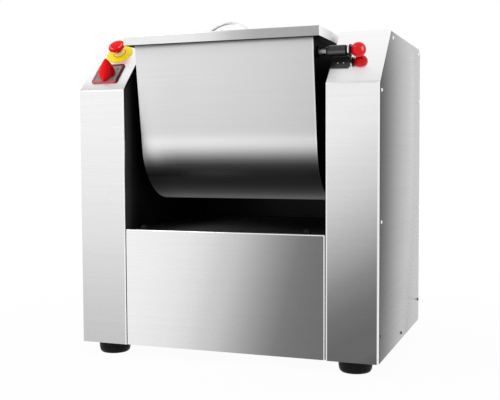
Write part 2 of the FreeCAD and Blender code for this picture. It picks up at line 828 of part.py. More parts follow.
def drum_end(side):
    """A plate inside the shell with a hub outside it; the right one has a boss for the latch bush."""
    piece = Piece(f"drum_end_{side}", (0, drum_y, drum_z))
    inside = Trough(s.drum_radius - s.drum_sheet, s.rim_rise)
    holes = [Circle(0, 0, s.journal_radius + s.seal_wall * 2)]
    bush_hole = Circle(latch_y - drum_y, latch_z - drum_z, s.latch_bush)
    if side == "right":
        holes.append(bush_hole)
    low, high = span(side, end_inside, end_outside)
    piece.pad("YZ_Plane", [inside] + holes, low, high)
    low, high = span(side, end_outside, hub_end)
    bush = s.nose_radius + s.running_gap + s.bush_wall
    piece.pad("YZ_Plane", [Circle(0, 0, s.hub_radius), Circle(0, 0, bush)], low, high)
    if side == "right":
        boss = Circle(latch_y - drum_y, latch_z - drum_z, s.boss_radius)
        piece.pad("YZ_Plane", [boss, bush_hole], end_outside, end_outside + s.boss_height)
    return keep(piece)


def make_drum():
    at = (0, drum_y, drum_z)
    shell = Piece("drum_shell", at)
    shell.pad("YZ_Plane", [Trough(s.drum_radius, s.rim_rise)], -drum_half, drum_half)
    hollow = Trough(s.drum_radius - s.drum_sheet, s.rim_rise + s.drum_sheet)
    keep(shell.pocket("YZ_Plane", [hollow], -drum_half, drum_half))
    drum_end("left")
    drum_end("right")
    # the latch bush is closed towards the drum
    bush_end = tube_start - s.bush_gap
    bore_start = bush_end - s.latch_travel
    bush = [
        (end_inside, 0), (end_inside, s.latch_bush), (bush_end, s.latch_bush), (bush_end, s.bush_bore),
        (bore_start, s.bush_bore), (bore_start, 0),
    ]
    turned("latch_bush", bush, (0, latch_y, latch_z))
    bushes = []
    seals = []
    inside = s.nose_radius + s.running_gap
    outside = inside + s.bush_wall
    bush_start = inner_x - s.nose_reach
    bore = s.journal_radius + s.seal_wall * 2
    lip = s.shaft_radius + s.running_gap
    for side in ("left", "right"):
        turn = 0 if side == "right" else 180
        bush = [(bush_start, inside), (hub_end, inside), (hub_end, outside), (bush_start, outside)]
        bushes.append(Piece(f"drum_bush_{side}", at, Z_AXIS, turn).turn(bush).body)
        seal = [(end_inside, lip), (end_outside, lip), (end_outside, bore), (end_inside, bore)]
        seals.append(Piece(f"shaft_seal_{side}", at, Z_AXIS, turn).turn(seal).body)
    keep(group("drum_bushes", bushes))
    keep(group("shaft_seals", seals))


def make_lid():
    half = inner_x - s.lid_side
    low = lid_top - s.lid_flange
    outer = box("lid_block", (-half, half), (lid_front, lid_back), (low, lid_top))
    inside = half - s.skin
    hollow_z = (low - s.skin, lid_top - s.skin)
    hollow_y = (lid_front + s.skin, lid_back + s.skin)
    hollow = box("lid_hollow", (-inside, inside), hollow_y, hollow_z)
    keep(cut("lid_panel", outer, [hollow]))
    radius = (s.bow_half * s.bow_half + s.bow_rise * s.bow_rise) / (2 * s.bow_rise)
    sweep = 2 * asin(s.bow_half / radius)
    bow = doc.addObject("Part::Torus", "handle_bow")
    bind(bow, "Radius1", radius)
    bind(bow, "Radius2", s.bow_rod)
    bind(bow, "Angle3", sweep)
    crown = lid_top + s.bow_pad + s.bow_rise
    upright = Rotation(X_AXIS, 90) * Rotation(Z_AXIS, 90 - sweep.number / 2)
    bow.Placement = Placement(Vector(0, 0, 0), upright)
    bow_y = lid_front + s.bow_back
    for letter, value in zip("xyz", (0, bow_y, crown - radius)):
        bind(bow, f"Placement.Base.{letter}", value)
    feet = [rod(f"handle_foot_{side}", (signed(side, s.bow_half), bow_y, lid_top), s.bow_foot, s.bow_pad)
            for side in ("left", "right")]
    keep(fuse("lid_handle", [bow] + feet))


def make_lid_hinges():
    lip = trough_half(s.drum_radius, s.rim_rise)
    hinge_y = drum_y + lip + s.hinge_out
    hinge_z = rim_z - s.hinge_drop
    upper = drum_y + lip - s.hinge_drop * tan(s.drum_flare)
    lower = drum_y + lip - s.leaf_height * tan(s.drum_flare)
    leaf = [
        (upper, hinge_z), (upper + s.leaf, hinge_z), (lower + s.leaf, rim_z - s.leaf_height),
        (lower, rim_z - s.leaf_height),
    ]
    strap_top = lid_top + s.strap_sheet
    web = hinge_y + s.strap_sheet
    strap = [
        (hinge_y - s.strap_reach, lid_top), (hinge_y - s.strap_reach, strap_top),
        (web + s.strap_sheet, strap_top), (web + s.strap_sheet, hinge_z), (web, hinge_z), (web, lid_top),
    ]
    brackets = []
    straps = []
    pins = []
    step = s.knuckle_length + s.knuckle_gap
    reach = s.knuckle_length * 1.5 + s.knuckle_gap
    bore = s.pin_radius + s.running_gap
    for side in ("left", "right"):
        middle = signed(side, s.hinge_spread)
        low = middle - s.knuckle_length / 2
        bracket = Piece(f"hinge_bracket_{side}")
        bracket.pad("YZ_Plane", [leaf], middle - reach, middle + reach)
        clear = [
            (upper - 1, hinge_z - s.knuckle_radius * 2), (upper - 1, hinge_z + s.knuckle_radius),
            (hinge_y, hinge_z + s.knuckle_radius), (hinge_y, hinge_z - s.knuckle_radius * 2),
        ]
        bracket.pocket("YZ_Plane", [clear], low - s.knuckle_gap, low + step)
        strap_piece = Piece(f"hinge_strap_{side}")
        strap_piece.pad("YZ_Plane", [strap], low, low + s.knuckle_length)
        knuckle = [Circle(hinge_y, hinge_z, s.knuckle_radius)]
        for piece, shift in ((bracket, -step), (bracket, step), (strap_piece, 0)):
            piece.pad("YZ_Plane", knuckle, low + shift, low + shift + s.knuckle_length)
        hole = [Circle(hinge_y, hinge_z, bore)]
        bracket.pocket("YZ_Plane", hole, middle - reach - 1, middle + reach + 1)
        strap_piece.pocket("YZ_Plane", hole, low - 1, low + s.knuckle_length + 1)
        brackets.append(bracket.body)
        straps.append(strap_piece.body)
        pins.append(rod(f"hinge_pin_{side}", (middle - reach, hinge_y, hinge_z), s.pin_radius,
                        reach * 2, Y_AXIS, 90))
    keep(group("lid_hinge_brackets", brackets))
    keep(group("lid_hinge_straps", straps))
    keep(group("lid_hinge_pins", pins))


# The drive's centres and its slices along X
slow_y = drum_y + (s.wheel_teeth + s.slow_teeth) * s.gear_module / 2 * cos(s.slow_angle)
slow_z = drum_z + (s.wheel_teeth + s.slow_teeth) * s.gear_module / 2 * sin(s.slow_angle)
fast_y = slow_y + (s.wheel_teeth + s.fast_teeth) * s.gear_module / 2 * cos(s.fast_angle)
fast_z = slow_z + (s.wheel_teeth + s.fast_teeth) * s.gear_module / 2 * sin(s.fast_angle)
drive_y = front + s.motor_back
drive_z = base + s.motor_rise
pulley_x = plate_x + s.flange_depth + s.axial_gap
fast_x = pulley_x + s.pulley_width + s.axial_gap
slow_x = fast_x + s.fast_face + s.axial_gap
gearbox_x = slow_x + s.slow_face + s.axial_gap + s.counter_width


def involute(angle):
    """The involute of an angle, in degrees."""
    return tan(angle) * (180 / math.pi) - angle


def tooth(teeth):
    """One tooth on the Y axis: straight to the base circle, then three points of its involute."""
    pressure = size(20)
    pitch = teeth * s.gear_module / 2
    base_circle = pitch * cos(pressure)
    tip = pitch + s.gear_module
    foot = pitch - 1.25 * s.gear_module
    half_pitch = 90 / teeth - s.gear_play / pitch * (180 / math.pi) + involute(pressure)

    def flank(radius):
        return half_pitch - involute(acos(base_circle / radius))

    near_base = base_circle + s.gear_module * 0.04
    points = [(foot - s.gear_module * 0.4, flank(near_base))]
    for radius in (near_base, pitch, tip):
        points.append((radius, flank(radius)))
    if foot.number > near_base.number:
        points = [(foot - s.gear_module * 0.4, flank(foot)), (foot, flank(foot))] + points[2:]
    upper = [(radius * cos(angle), radius * sin(angle)) for radius, angle in points]
    lower = [(y, -z) for y, z in upper[::-1]]
    return upper + lower


def add_teeth(piece, teeth, low, high):
    """Pads one tooth and repeats it round the gear."""
    piece.pad("YZ_Plane", [tooth(teeth)], low, high)
    return piece.ring_pattern(teeth)


def large_gear(name, y, z, bore, low, high, phase):
    """A gear with a hub, a thinner web and a rim, its first tooth at the phase angle."""
    foot = s.wheel_teeth * s.gear_module / 2 - 1.25 * s.gear_module
    middle = (low + high) / 2
    profile = [
        (low, bore), (high, bore), (high, s.gear_hub), (middle + s.web / 2, s.gear_hub),
        (middle + s.web / 2, foot - s.rim), (high, foot - s.rim), (high, foot), (low, foot),
        (low, foot - s.rim), (middle - s.web / 2, foot - s.rim), (middle - s.web / 2, s.gear_hub),
        (low, s.gear_hub),
    ]
    gear = Piece(name, (0, y, z), X_AXIS, phase).turn(profile)
    return keep(add_teeth(gear, s.wheel_teeth, low, high))


def pinion_shaft(name, y, z, teeth, low, high, phase):
    """A countershaft with its pinion cut in one piece."""
    foot = teeth * s.gear_module / 2 - 1.25 * s.gear_module
    start = plate_x
    shoulder = plate_x + s.counter_width + s.key_gap
    end = gearbox_x
    end_shoulder = gearbox_x - s.counter_width - s.key_gap
    profile = [
        (start, 0), (start, s.counter_journal), (shoulder, s.counter_journal),
        (shoulder, s.counter_radius), (low, s.counter_radius), (low, foot), (high, foot),
        (high, s.counter_radius), (end_shoulder, s.counter_radius), (end_shoulder, s.counter_journal),
        (end, s.counter_journal), (end, 0),
    ]
    shaft = Piece(name, (0, y, z), X_AXIS, phase).turn(profile)
    return keep(add_teeth(shaft, teeth, low, high))


def make_gears():
    slow_end = slow_x + s.slow_face
    fast_end = fast_x + s.fast_face
    large_gear("main_gear", drum_y, drum_z, s.journal_radius, slow_x, slow_end, s.slow_angle)
    mate = s.slow_angle + 180 + 180 / s.slow_teeth
    pinion_shaft("slow_pinion_shaft", slow_y, slow_z, s.slow_teeth, slow_x, slow_end, mate)
    large_gear("slow_gear", slow_y, slow_z, s.counter_radius, fast_x, fast_end, s.fast_angle)
    mate = s.fast_angle + 180 + 180 / s.fast_teeth
    pinion_shaft("fast_pinion_shaft", fast_y, fast_z, s.fast_teeth, fast_x, fast_end, mate)


def pulley(name, y, z, radius, bore):
    """A flanged belt pulley with a hollowed web."""
    start = pulley_x
    end = pulley_x + s.pulley_width
    groove = radius - s.belt_gap
    profile = [
        (start, bore), (end, bore), (end, radius + s.belt_side), (end - s.belt_side, radius + s.belt_side),
        (end - s.belt_side, groove), (start + s.belt_side, groove),
        (start + s.belt_side, radius + s.belt_side), (start, radius + s.belt_side),
    ]
    return turned(name, profile, (0, y, z))


def make_belt_drive():
    pulley("large_pulley", fast_y, fast_z, s.large_pulley_radius, s.counter_radius)
    pulley("motor_pulley", drive_y, drive_z, s.small_pulley_radius, s.motor_shaft_radius)
    loops = []
    for grow in (0, s.belt_thickness):
        large = Circle(fast_y, fast_z, s.large_pulley_radius + grow)
        small = Circle(drive_y, drive_z, s.small_pulley_radius + grow)
        loops.append(BeltLoop(large, small))
    low = pulley_x + s.belt_side + s.belt_gap
    high = pulley_x + s.pulley_width - s.belt_side - s.belt_gap
    belt = Piece("drive_belt").pad("YZ_Plane", [loops[1]], low, high)
    keep(belt.pocket("YZ_Plane", [loops[0]], low, high))


def make_gearbox():
    bearings = []
    bore = s.counter_journal + s.running_gap
    for name, y, z in (("slow", slow_y, slow_z), ("fast", fast_y, fast_z)):
        for end, start in (("inner", plate_x), ("outer", gearbox_x - s.counter_width)):
            ring = [
                (start, bore), (start + s.counter_width, bore),
                (start + s.counter_width, s.counter_bearing), (start, s.counter_bearing),
            ]
            bearings.append(Piece(f"{name}_bearing_{end}", (0, y, z)).turn(ring).body)
    keep(group("countershaft_bearings", bearings))
    # the posts stand just outside the gears, and the plate reaches round all of them
    wheel = s.wheel_teeth * s.gear_module / 2 + s.gear_module
    reach = wheel + s.post_radius + s.axial_gap * 2
    high_front = (drum_y + reach * cos(150), drum_z + reach * sin(150))
    high_back = (drum_y + reach * cos(40), drum_z + reach * sin(40))
    low_back = (fast_y + reach, fast_z)
    low_front = (slow_y + reach * cos(200), slow_z + reach * sin(200))
    posts = []
    for number, (y, z) in enumerate((high_front, high_back, low_back, low_front)):
        bar = rod(f"post_{number}", (plate_x, y, z), s.post_radius, gearbox_x - plate_x, Y_AXIS, 90)
        posts.append(bar)
    keep(group("spacer_posts", posts))
    margin = s.gearbox_margin
    corners = [
        (high_front[0] - margin, high_front[1] + margin),
        (high_front[0] - margin, high_front[1] - margin),
        (low_front[0] - margin, low_front[1] - margin),
        (fast_y - margin * 1.5, fast_z - margin * 1.5),
        (low_back[0] + margin, low_back[1] - margin),
        (low_back[0] + margin, low_back[1] + margin),
        (high_back[0] + margin, high_back[1] + margin),
    ]
    hole = Circle(drum_y, drum_z, s.journal_radius + s.running_gap)
    sheet_end = gearbox_x + s.gearbox_sheet
    keep(Piece("gearbox_plate").pad("YZ_Plane", [corners, hole], gearbox_x, sheet_end))


def make_agitator():
    flange_end = plate_x + s.flange_depth
    shoulder = flange_end - s.bearing_width - s.key_gap
    seat_left = -shoulder
    end_right = gearbox_x + s.gearbox_sheet
    profile = [
        (-flange_end, 0), (-flange_end, s.journal_radius), (seat_left, s.journal_radius),
        (seat_left, s.shaft_radius), (shoulder, s.shaft_radius), (shoulder, s.journal_radius),
        (end_right, s.journal_radius), (end_right, 0),
    ]
    turned("agitator_shaft", profile, (0, drum_y, drum_z))
    paddles = []
    arms = int(s.arm_count.number)
    share = end_inside * 2 / s.arm_count
    for number in range(arms):
        x = share * (number - (arms - 1) / 2)
        turn = 45 + 90 * number
        paddles.append(make_paddle(number, x, turn, share / 2 - s.blade_side))
    keep(group("mixing_paddles", paddles))


def make_paddle(number, x, turn, half):
    """An arm that stands on the shaft and carries a pitched blade, half its width either side."""
    neck = s.blade_reach - s.blade_height
    foot = s.shaft_radius * 0.9
    arm = rod(f"paddle_arm_{number}", (0, 0, foot), s.arm_radius, neck + s.blade_sheet - foot)
    thick = s.blade_sheet / 2
    blade = box(f"paddle_blade_{number}", (-half, half), (-thick, thick), (neck, s.blade_reach))
    pitch = s.blade_pitch * (1 if number % 2 else -1)
    bind(blade, "Placement.Base.x", -half * cos(pitch) + thick * sin(pitch))
    bind(blade, "Placement.Base.y", -half * sin(pitch) - thick * cos(pitch))
    blade.Placement = Placement(blade.Placement.Base, Rotation(Z_AXIS, pitch.number))
    bind(blade, "Placement.Rotation.Angle", pitch)
    whole = fuse(f"paddle_whole_{number}", [arm, blade])
    shaft = rod(f"paddle_seat_{number}", (-half, 0, 0), s.shaft_radius, half * 2, Y_AXIS, 90)
    paddle = cut(f"paddle_{number}", whole, [shaft])
    place(paddle, (x, drum_y, drum_z), X_AXIS, turn)
    return paddle


def make_motor():
    at = (0, drive_y, drive_z)
    end = inner_x
    flange = end - s.motor_flange_depth
    start = flange - s.motor_length
    profile = [
        (start, 0), (start, s.motor_radius), (flange, s.motor_radius), (flange, s.motor_flange),
        (end, s.motor_flange), (end, s.spigot_radius), (plate_x, s.spigot_radius),
        (plate_x, s.motor_shaft_radius + s.running_gap), (flange, s.motor_shaft_radius + s.running_gap),
        (flange, 0),
    ]
    motor = Piece("motor_body", at).turn(profile)
    half = s.fin_width / 2
    fin = [
        (s.motor_radius * 0.95, -half), (s.motor_radius + s.fin_height, -half),
        (s.motor_radius + s.fin_height, half), (s.motor_radius * 0.95, half),
    ]
    motor.pad("YZ_Plane", [fin], start, flange)
    keep(motor.ring_pattern(s.fin_count))
    cover_end = start
    cover_start = start - s.fan_cover_length
    inside = s.fan_cover_radius - s.skin
    profile = [
        (cover_start, 0), (cover_start, s.fan_cover_radius * 0.8),
        (cover_start + s.fin_height, s.fan_cover_radius), (cover_end, s.fan_cover_radius),
        (cover_end, inside), (cover_start + s.fin_height, inside), (cover_start + s.skin, 0),
    ]
    turned("motor_fan_cover", profile, at)
    rise = s.motor_radius + s.fin_height
    middle = (start + flange) / 2
    half = s.box_length / 2
    low = drive_z + rise
    high = low + s.box_height
    keep(box("motor_terminal_box", (middle - half, middle + half), (drive_y - half, drive_y + half),
             (low, high)))
    shaft = [
        (flange + s.key_gap, 0), (flange + s.key_gap, s.motor_shaft_radius),
        (pulley_x + s.pulley_width, s.motor_shaft_radius), (pulley_x + s.pulley_width, 0),
    ]
    turned("motor_shaft", shaft, at)


def make_latch():
    """The latch is parked clear of the drum; pushed in by its travel, its pin enters the bush."""
    at = (0, latch_y, latch_z)
    end = tube_start + s.tube_length
    radius = s.latch_pin_radius
    nose = radius + s.screw_gap
    recess = end - s.latch_travel - s.key_gap
    profile = [
        (tube_start, nose), (tube_start, s.tube_radius), (end, s.tube_radius), (end, s.socket_radius),
        (recess, s.socket_radius), (recess, nose),
    ]
    tube = Piece("latch_tube", at).turn(profile).body
    half = s.tube_radius * 0.8
    saddle = box("latch_saddle", (0, s.saddle_width), (-half, half), (-s.latch_over, -half))
    place(saddle, (inner_x + s.saddle_start,
                   latch_y + s.latch_over * sin(s.slope_angle) - half * cos(s.slope_angle),
                   latch_z - s.latch_over * cos(s.slope_angle) - half * sin(s.slope_angle)),
          X_AXIS, s.slope_angle)
    room = rod("sleeve_room", (recess, latch_y, latch_z), s.socket_radius, end - recess, Y_AXIS, 90)
    keep(fuse("latch_housing", [tube, cut("latch_saddle_cut", saddle, [room])]))
    nose_end = tube_start - s.key_gap / 2
    sleeve = end + s.sleeve_gap
    flat = ball_x - s.ball_flat
    collar = flat - s.grip_collar_width
    profile = [
        (nose_end, 0), (nose_end, radius * 0.6), (nose_end + s.latch_travel, radius), (sleeve, radius),
        (sleeve, s.sleeve_radius), (collar, s.sleeve_radius), (collar, s.stem_radius),
        (ball_x, s.stem_radius), (ball_x, 0),
    ]
    turned("latch_pin", profile, at)
    hole = s.stem_radius + s.running_gap
    ring = [(collar, hole), (flat, hole), (flat, s.grip_collar), (collar, s.grip_collar)]
    turned("latch_collar", ring, at)
    ball = doc.addObject("Part::Sphere", "ball_round")
    bind(ball, "Radius", s.ball_radius)
    place(ball, (ball_x, latch_y, latch_z))
    stem = rod("ball_socket", (flat, latch_y, latch_z), hole, s.ball_flat, Y_AXIS, 90)
    face = rod("ball_face", (flat - s.ball_radius, latch_y, latch_z), s.ball_radius, s.ball_radius,
               Y_AXIS, 90)
    keep(cut("latch_ball", ball, [stem, face]))


def make_switch():
    at = slope_at(s.switch_inset, s.switch_up)
    half = s.switch_half
    tall = s.switch_tall
    square = [(-half, -tall), (half, -tall), (half, tall), (-half, tall)]
    spindle = s.spindle_radius
    hole = Circle(0, 0, spindle + s.screw_gap)
    face = s.switch_sheet + s.switch_rise
    plate = Piece("switch_plate", at, X_AXIS, s.slope_angle)
    plate.pad("XY_Plane", [square, hole], 0, s.switch_sheet)
    keep(plate.pad("XY_Plane", [Circle(0, 0, s.switch_face), hole], s.switch_sheet, face))
    inside = s.switch_body_half
    block = [(-inside, -inside), (inside, -inside), (inside, inside), (-inside, inside)]
    body = Piece("switch_body", at, X_AXIS, s.slope_angle)
    body.pad("XY_Plane", [block], -s.switch_depth, -s.skin)
    socket = -s.skin - s.spindle_depth
    keep(body.pocket("XY_Plane", [hole], socket, -s.skin))
    knob = Piece("switch_knob", at, X_AXIS, s.slope_angle)
    low = face + s.belt_gap
    knob.pad("XY_Plane", [Circle(0, 0, s.knob_radius)], low, low + s.knob_base)
    grip = s.grip_half
    tail = s.knob_radius * 0.9
    nose = s.knob_radius + s.grip_nose
    lever = [(-grip, tail), (grip, tail), (grip, -tail), (0, -nose), (-grip, -tail)]
    knob.pad("XY_Plane", [lever], low + s.knob_base, s.knob_height)
    ridge = [(-nose, low + s.knob_base + s.grip_tip), (tail / 2, s.knob_height), (-nose, s.knob_height)]
    knob.pocket("YZ_Plane", [ridge], -grip, grip)
    keep(knob.pad("XY_Plane", [Circle(0, 0, spindle)], socket + s.key_gap, low))


def make_stop_button():
    at = slope_at(s.button_inset, s.stop_up)
    bore = s.plunger_radius + s.screw_gap
    barrel = s.barrel_radius
    hole = barrel + s.running_gap
    ring = [(hole, 0), (s.ring_radius, 0), (s.ring_radius, s.ring_sheet), (hole, s.ring_sheet)]
    turned("estop_ring", ring, at, "V_Axis", s.slope_angle)
    top_of_collar = s.ring_sheet + s.collar_height
    profile = [
        (0, -s.stop_depth), (barrel * 1.6, -s.stop_depth), (barrel * 1.6, -s.skin),
        (barrel, -s.skin), (barrel, s.ring_sheet), (s.collar_radius, s.ring_sheet),
        (s.collar_radius * 0.9, top_of_collar), (bore, top_of_collar),
        (bore, -s.stop_depth / 2), (0, -s.stop_depth / 2),
    ]
    turned("estop_body", profile, at, "V_Axis", s.slope_angle)
    head_low = top_of_collar + s.stop_travel + s.key_gap
    plunger_low = -s.stop_depth / 2 + s.stop_travel + s.key_gap
    plunger_top = head_low + s.stop_travel
    profile = [(0, plunger_low), (s.plunger_radius, plunger_low), (s.plunger_radius, plunger_top),
               (0, plunger_top)]
    turned("estop_plunger", profile, at, "V_Axis", s.slope_angle)
    high = head_low + s.head_height
    radius = s.head_radius
    rise = s.head_height
    inside = s.plunger_radius + s.running_gap
    seat = plunger_top + s.running_gap
    profile = [
        (inside, head_low), (s.head_neck, head_low), (s.head_neck * 1.1, head_low + rise * 0.2),
        (radius, head_low + rise * 0.3), (radius, head_low + rise * 0.55),
        (radius * 0.85, head_low + rise * 0.82), (radius * 0.45, high - rise * 0.04), (0, high),
        (0, seat), (inside, seat),
    ]
    turned("estop_head", profile, at, "V_Axis", s.slope_angle)


def make_gland():
    at = (s.gland_x, rear_y, base + s.gland_rise)
    radius = s.gland_radius
    reach = s.gland_reach
    profile = [
        (s.gland_bore, 0), (radius, 0), (radius, reach * 0.55), (radius * 0.85, reach * 0.65),
        (radius * 0.7, reach), (s.gland_bore, reach),
    ]
    turned("cable_gland", profile, at, "V_Axis", -90)


def export():
    """Checks every object and sub-part, then writes one file for each sub-part."""
    doc.recompute()
    for thing in doc.Objects:
        if "Invalid" in thing.State or "Error" in thing.State:
            raise ValueError(f"{thing.Label} failed: {thing.State}")
    for name, body in nodes.items():
        if body.Shape.isNull() or not body.Shape.isValid():
            raise ValueError(f"{name} has no valid shape")
    os.makedirs("parts", exist_ok=True)
    for name, body in nodes.items():
        body.Shape.exportStep(f"parts/{name}.step")
        print(name, len(body.Shape.Solids), round(body.Shape.Volume))
    print(len(nodes), "sub-parts")


make_columns()
make_cover_screws()
make_middle_panels()
make_base()
make_bearing_housings()
make_plate_bolts()
make_drum()
make_lid()
make_lid_hinges()
make_gears()
make_belt_drive()
make_gearbox()
make_agitator()
make_motor()
make_latch()
make_switch()
make_stop_button()
make_gland()
export()
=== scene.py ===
import json
import math
import bmesh
import bpy
from mathutils import Matrix, Vector


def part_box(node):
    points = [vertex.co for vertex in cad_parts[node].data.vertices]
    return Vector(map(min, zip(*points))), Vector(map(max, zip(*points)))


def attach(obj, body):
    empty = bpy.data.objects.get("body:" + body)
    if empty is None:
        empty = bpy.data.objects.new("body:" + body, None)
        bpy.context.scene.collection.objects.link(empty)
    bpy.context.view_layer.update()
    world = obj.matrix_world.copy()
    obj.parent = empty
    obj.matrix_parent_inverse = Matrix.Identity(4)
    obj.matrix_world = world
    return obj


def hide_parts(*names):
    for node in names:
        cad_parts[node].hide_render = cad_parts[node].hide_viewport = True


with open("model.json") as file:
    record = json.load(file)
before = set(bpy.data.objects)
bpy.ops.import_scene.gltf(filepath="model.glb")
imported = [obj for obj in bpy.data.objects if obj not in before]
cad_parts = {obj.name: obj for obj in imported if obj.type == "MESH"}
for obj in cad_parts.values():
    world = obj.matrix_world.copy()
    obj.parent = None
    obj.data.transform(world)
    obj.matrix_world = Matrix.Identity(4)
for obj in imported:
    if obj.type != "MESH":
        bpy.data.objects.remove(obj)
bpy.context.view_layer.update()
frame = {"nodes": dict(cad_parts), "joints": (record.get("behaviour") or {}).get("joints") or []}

mm = 0.001
scene = bpy.context.scene
scene.view_settings.view_transform = "Standard"

# Where the housing stands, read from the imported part
skinLow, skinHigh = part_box("right_column_skin")
innerX = skinLow.x
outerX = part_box("right_side_cover")[1].x
frontY = skinLow.y
backY = skinHigh.y
baseZ = skinLow.z
topZ = skinHigh.z
jointNamed = {joint["name"]: joint for joint in frame["joints"]}
drumY, drumZ = jointNamed["drum_tilt"]["pos_m"][1:]
slopeTurn = Matrix.Rotation(math.radians(45), 4, "X")       # from level to the control slope
switchAt = Vector(jointNamed["switch_turn"]["pos_m"])       # where each control's axis meets the slope
stopAt = Vector(jointNamed["stop_twist"]["pos_m"])


# Camera, solved from the edges of the housing
cameraView = {
    "place": (0.7014, -1.9728, 0.4684),
    "heading": 20.156,      # degrees from straight ahead, turned to the left
    "pitch": 3.216,         # degrees down
    "roll": -0.262,
    "lens": 61.54,
    "sensor": 36.0,
}


def makeCamera(look):
    data = bpy.data.cameras.new("camera")
    data.lens = look["lens"]
    data.sensor_width = look["sensor"]
    data.clip_end = 40
    camera = bpy.data.objects.new("camera", data)
    scene.collection.objects.link(camera)
    turn = Matrix.Rotation(math.radians(look["heading"]), 4, "Z")
    tip = Matrix.Rotation(math.radians(90 - look["pitch"]), 4, "X")
    roll = Matrix.Rotation(math.radians(look["roll"]), 4, "Z")
    camera.matrix_world = Matrix.Translation(look["place"]) @ turn @ tip @ roll
    scene.camera = camera


makeCamera(cameraView)
print("camera ready")


# Materials

class Wire:
    # a socket in a material, so that shader sums are written as plain expressions
    def __init__(self, tree, socket):
        self.tree = tree
        self.socket = socket

    def sum(self, operation, first, second=None):
        node = self.tree.nodes.new("ShaderNodeMath")
        node.operation = operation
        for number, value in enumerate((first, second)):
            if isinstance(value, Wire):
                self.tree.links.new(value.socket, node.inputs[number])
            elif value is not None:
                node.inputs[number].default_value = value
        return Wire(self.tree, node.outputs[0])

    def __add__(self, other):
        return self.sum("ADD", self, other)

    def __radd__(self, other):
        return self.sum("ADD", other, self)

    def __sub__(self, other):
        return self.sum("SUBTRACT", self, other)

    def __rsub__(self, other):
        return self.sum("SUBTRACT", other, self)

    def __mul__(self, other):
        return self.sum("MULTIPLY", self, other)

    def __rmul__(self, other):
        return self.sum("MULTIPLY", other, self)

    def __truediv__(self, other):
        return self.sum("DIVIDE", self, other)


class Finish:
    # a material, and the nodes that feed its main shader
    def __init__(self, name, **fixed):
        self.material = bpy.data.materials.new(name)
        self.material.use_nodes = True
        self.tree = self.material.node_tree
        self.shader = self.tree.nodes["Principled BSDF"]
        for socket, value in fixed.items():
            self.shader.inputs[socket.replace("_", " ")].default_value = value

    def node(self, kind, settings=None, sockets=None, output=0):
        node = self.tree.nodes.new(kind)
        for key, value in (settings or {}).items():
            setattr(node, key, value)
        for key, value in (sockets or {}).items():
            if isinstance(value, Wire):
                self.tree.links.new(value.socket, node.inputs[key])
            else:
                node.inputs[key].default_value = value
        return Wire(self.tree, node.outputs[output])

    def feed(self, socket, wire):
        self.tree.links.new(wire.socket, self.shader.inputs[socket])

    def place(self):
        return self.node("ShaderNodeTexCoord", output=3)

    def axis(self, letter):
        return self.node("ShaderNodeSeparateXYZ", sockets={0: self.place()}, output="XYZ".index(letter))

    def apart(self, first, second):
        return self.node("ShaderNodeVectorMath", {"operation": "SUBTRACT"}, {0: first, 1: second})

    def divided(self, first, second):
        return self.node("ShaderNodeVectorMath", {"operation": "DIVIDE"}, {0: first, 1: second})

    def length(self, vector):
        return self.node("ShaderNodeVectorMath", {"operation": "LENGTH"}, {0: vector}, output=1)

    def scaled(self, colour, factor):
        return self.node("ShaderNodeVectorMath", {"operation": "SCALE"}, {0: colour, "Scale": factor})

    def noise(self, stretch, detail=3.0, roughness=0.55):
        spot = self.node("ShaderNodeMapping", sockets={"Vector": self.place(), "Scale": stretch})
        sockets = {"Vector": spot, "Scale": 1.0, "Detail": detail, "Roughness": roughness}
        return self.node("ShaderNodeTexNoise", sockets=sockets)

    def ramp(self, factor, stops, mode="EASE"):
        # stops are place and grey or colour, in order
        wire = self.node("ShaderNodeValToRGB", sockets={"Fac": factor})
        ramp = wire.socket.node.color_ramp
        ramp.interpolation = mode
        while len(ramp.elements) < len(stops):
            ramp.elements.new(0.5)
        for element, (position, value) in zip(ramp.elements, stops):
            element.position = position
            element.color = value + (1.0,) if isinstance(value, tuple) else grey(value)
        return wire

    def mix(self, factor, first, second, blend="MIX"):
        settings = {"data_type": "RGBA", "blend_type": blend}
        sockets = {0: factor, 6: first, 7: second}
        return self.node("ShaderNodeMix", settings, sockets, output=2)

    def bump(self, height, strength, distance):
        sockets = {"Height": height, "Strength": strength, "Distance": distance}
        self.feed("Normal", self.node("ShaderNodeBump", sockets=sockets))


def grey(light):
    return (light, light, light, 1.0)


def linear(level):
    # a grey level as seen in a picture, as the light level that a shader takes
    return ((level + 0.055) / 1.055) ** 2.4 if level > 0.04045 else level / 12.92


def axisRamp(finish, letter, stops, lean=None):
    # a value that changes along one axis; stops are metres and the value, and lean is another axis,
    # how far the stops shift per metre along it, and where along it they don't
    low = stops[0][0]
    reach = stops[-1][0] - low
    along = finish.axis(letter)
    if lean:
        other, share, middle = lean
        along = along - (finish.axis(other) - middle) * share
    values = [((place - low) / reach, value) for place, value in stops]
    return finish.ramp((along - low) / reach, values, "LINEAR")


def toneRamp(finish, letter, stops, lean=None):
    # the same for a grey, given as the grey level seen
    return axisRamp(finish, letter, [(place, linear(level)) for place, level in stops], lean)


foldHighlightBand = {
    "from": 0.15,           # the stretch of X, from either side's middle, that the lines lie in
    "reach": 0.22,
    "soft": 0.0015,
}


def paintedFoldHighlights(finish, tone, spans, level, sign=1):
    # painted highlights: thin bright lines painted where a sheet is folded; spans are metres along X
    low, reach, soft = foldHighlightBand.values()
    stops = [(0.0, 0.0)]
    for start, end in spans:
        stops += [(start - soft, 0.0), (start, 1.0), (end, 1.0), (end + soft, 0.0)]
    places = [(max(0.0, (place - low) / reach), value) for place, value in stops]
    mask = finish.ramp((finish.axis("X") * sign - low) / reach, places, "LINEAR")
    return finish.mix(mask, tone, grey(linear(level)))


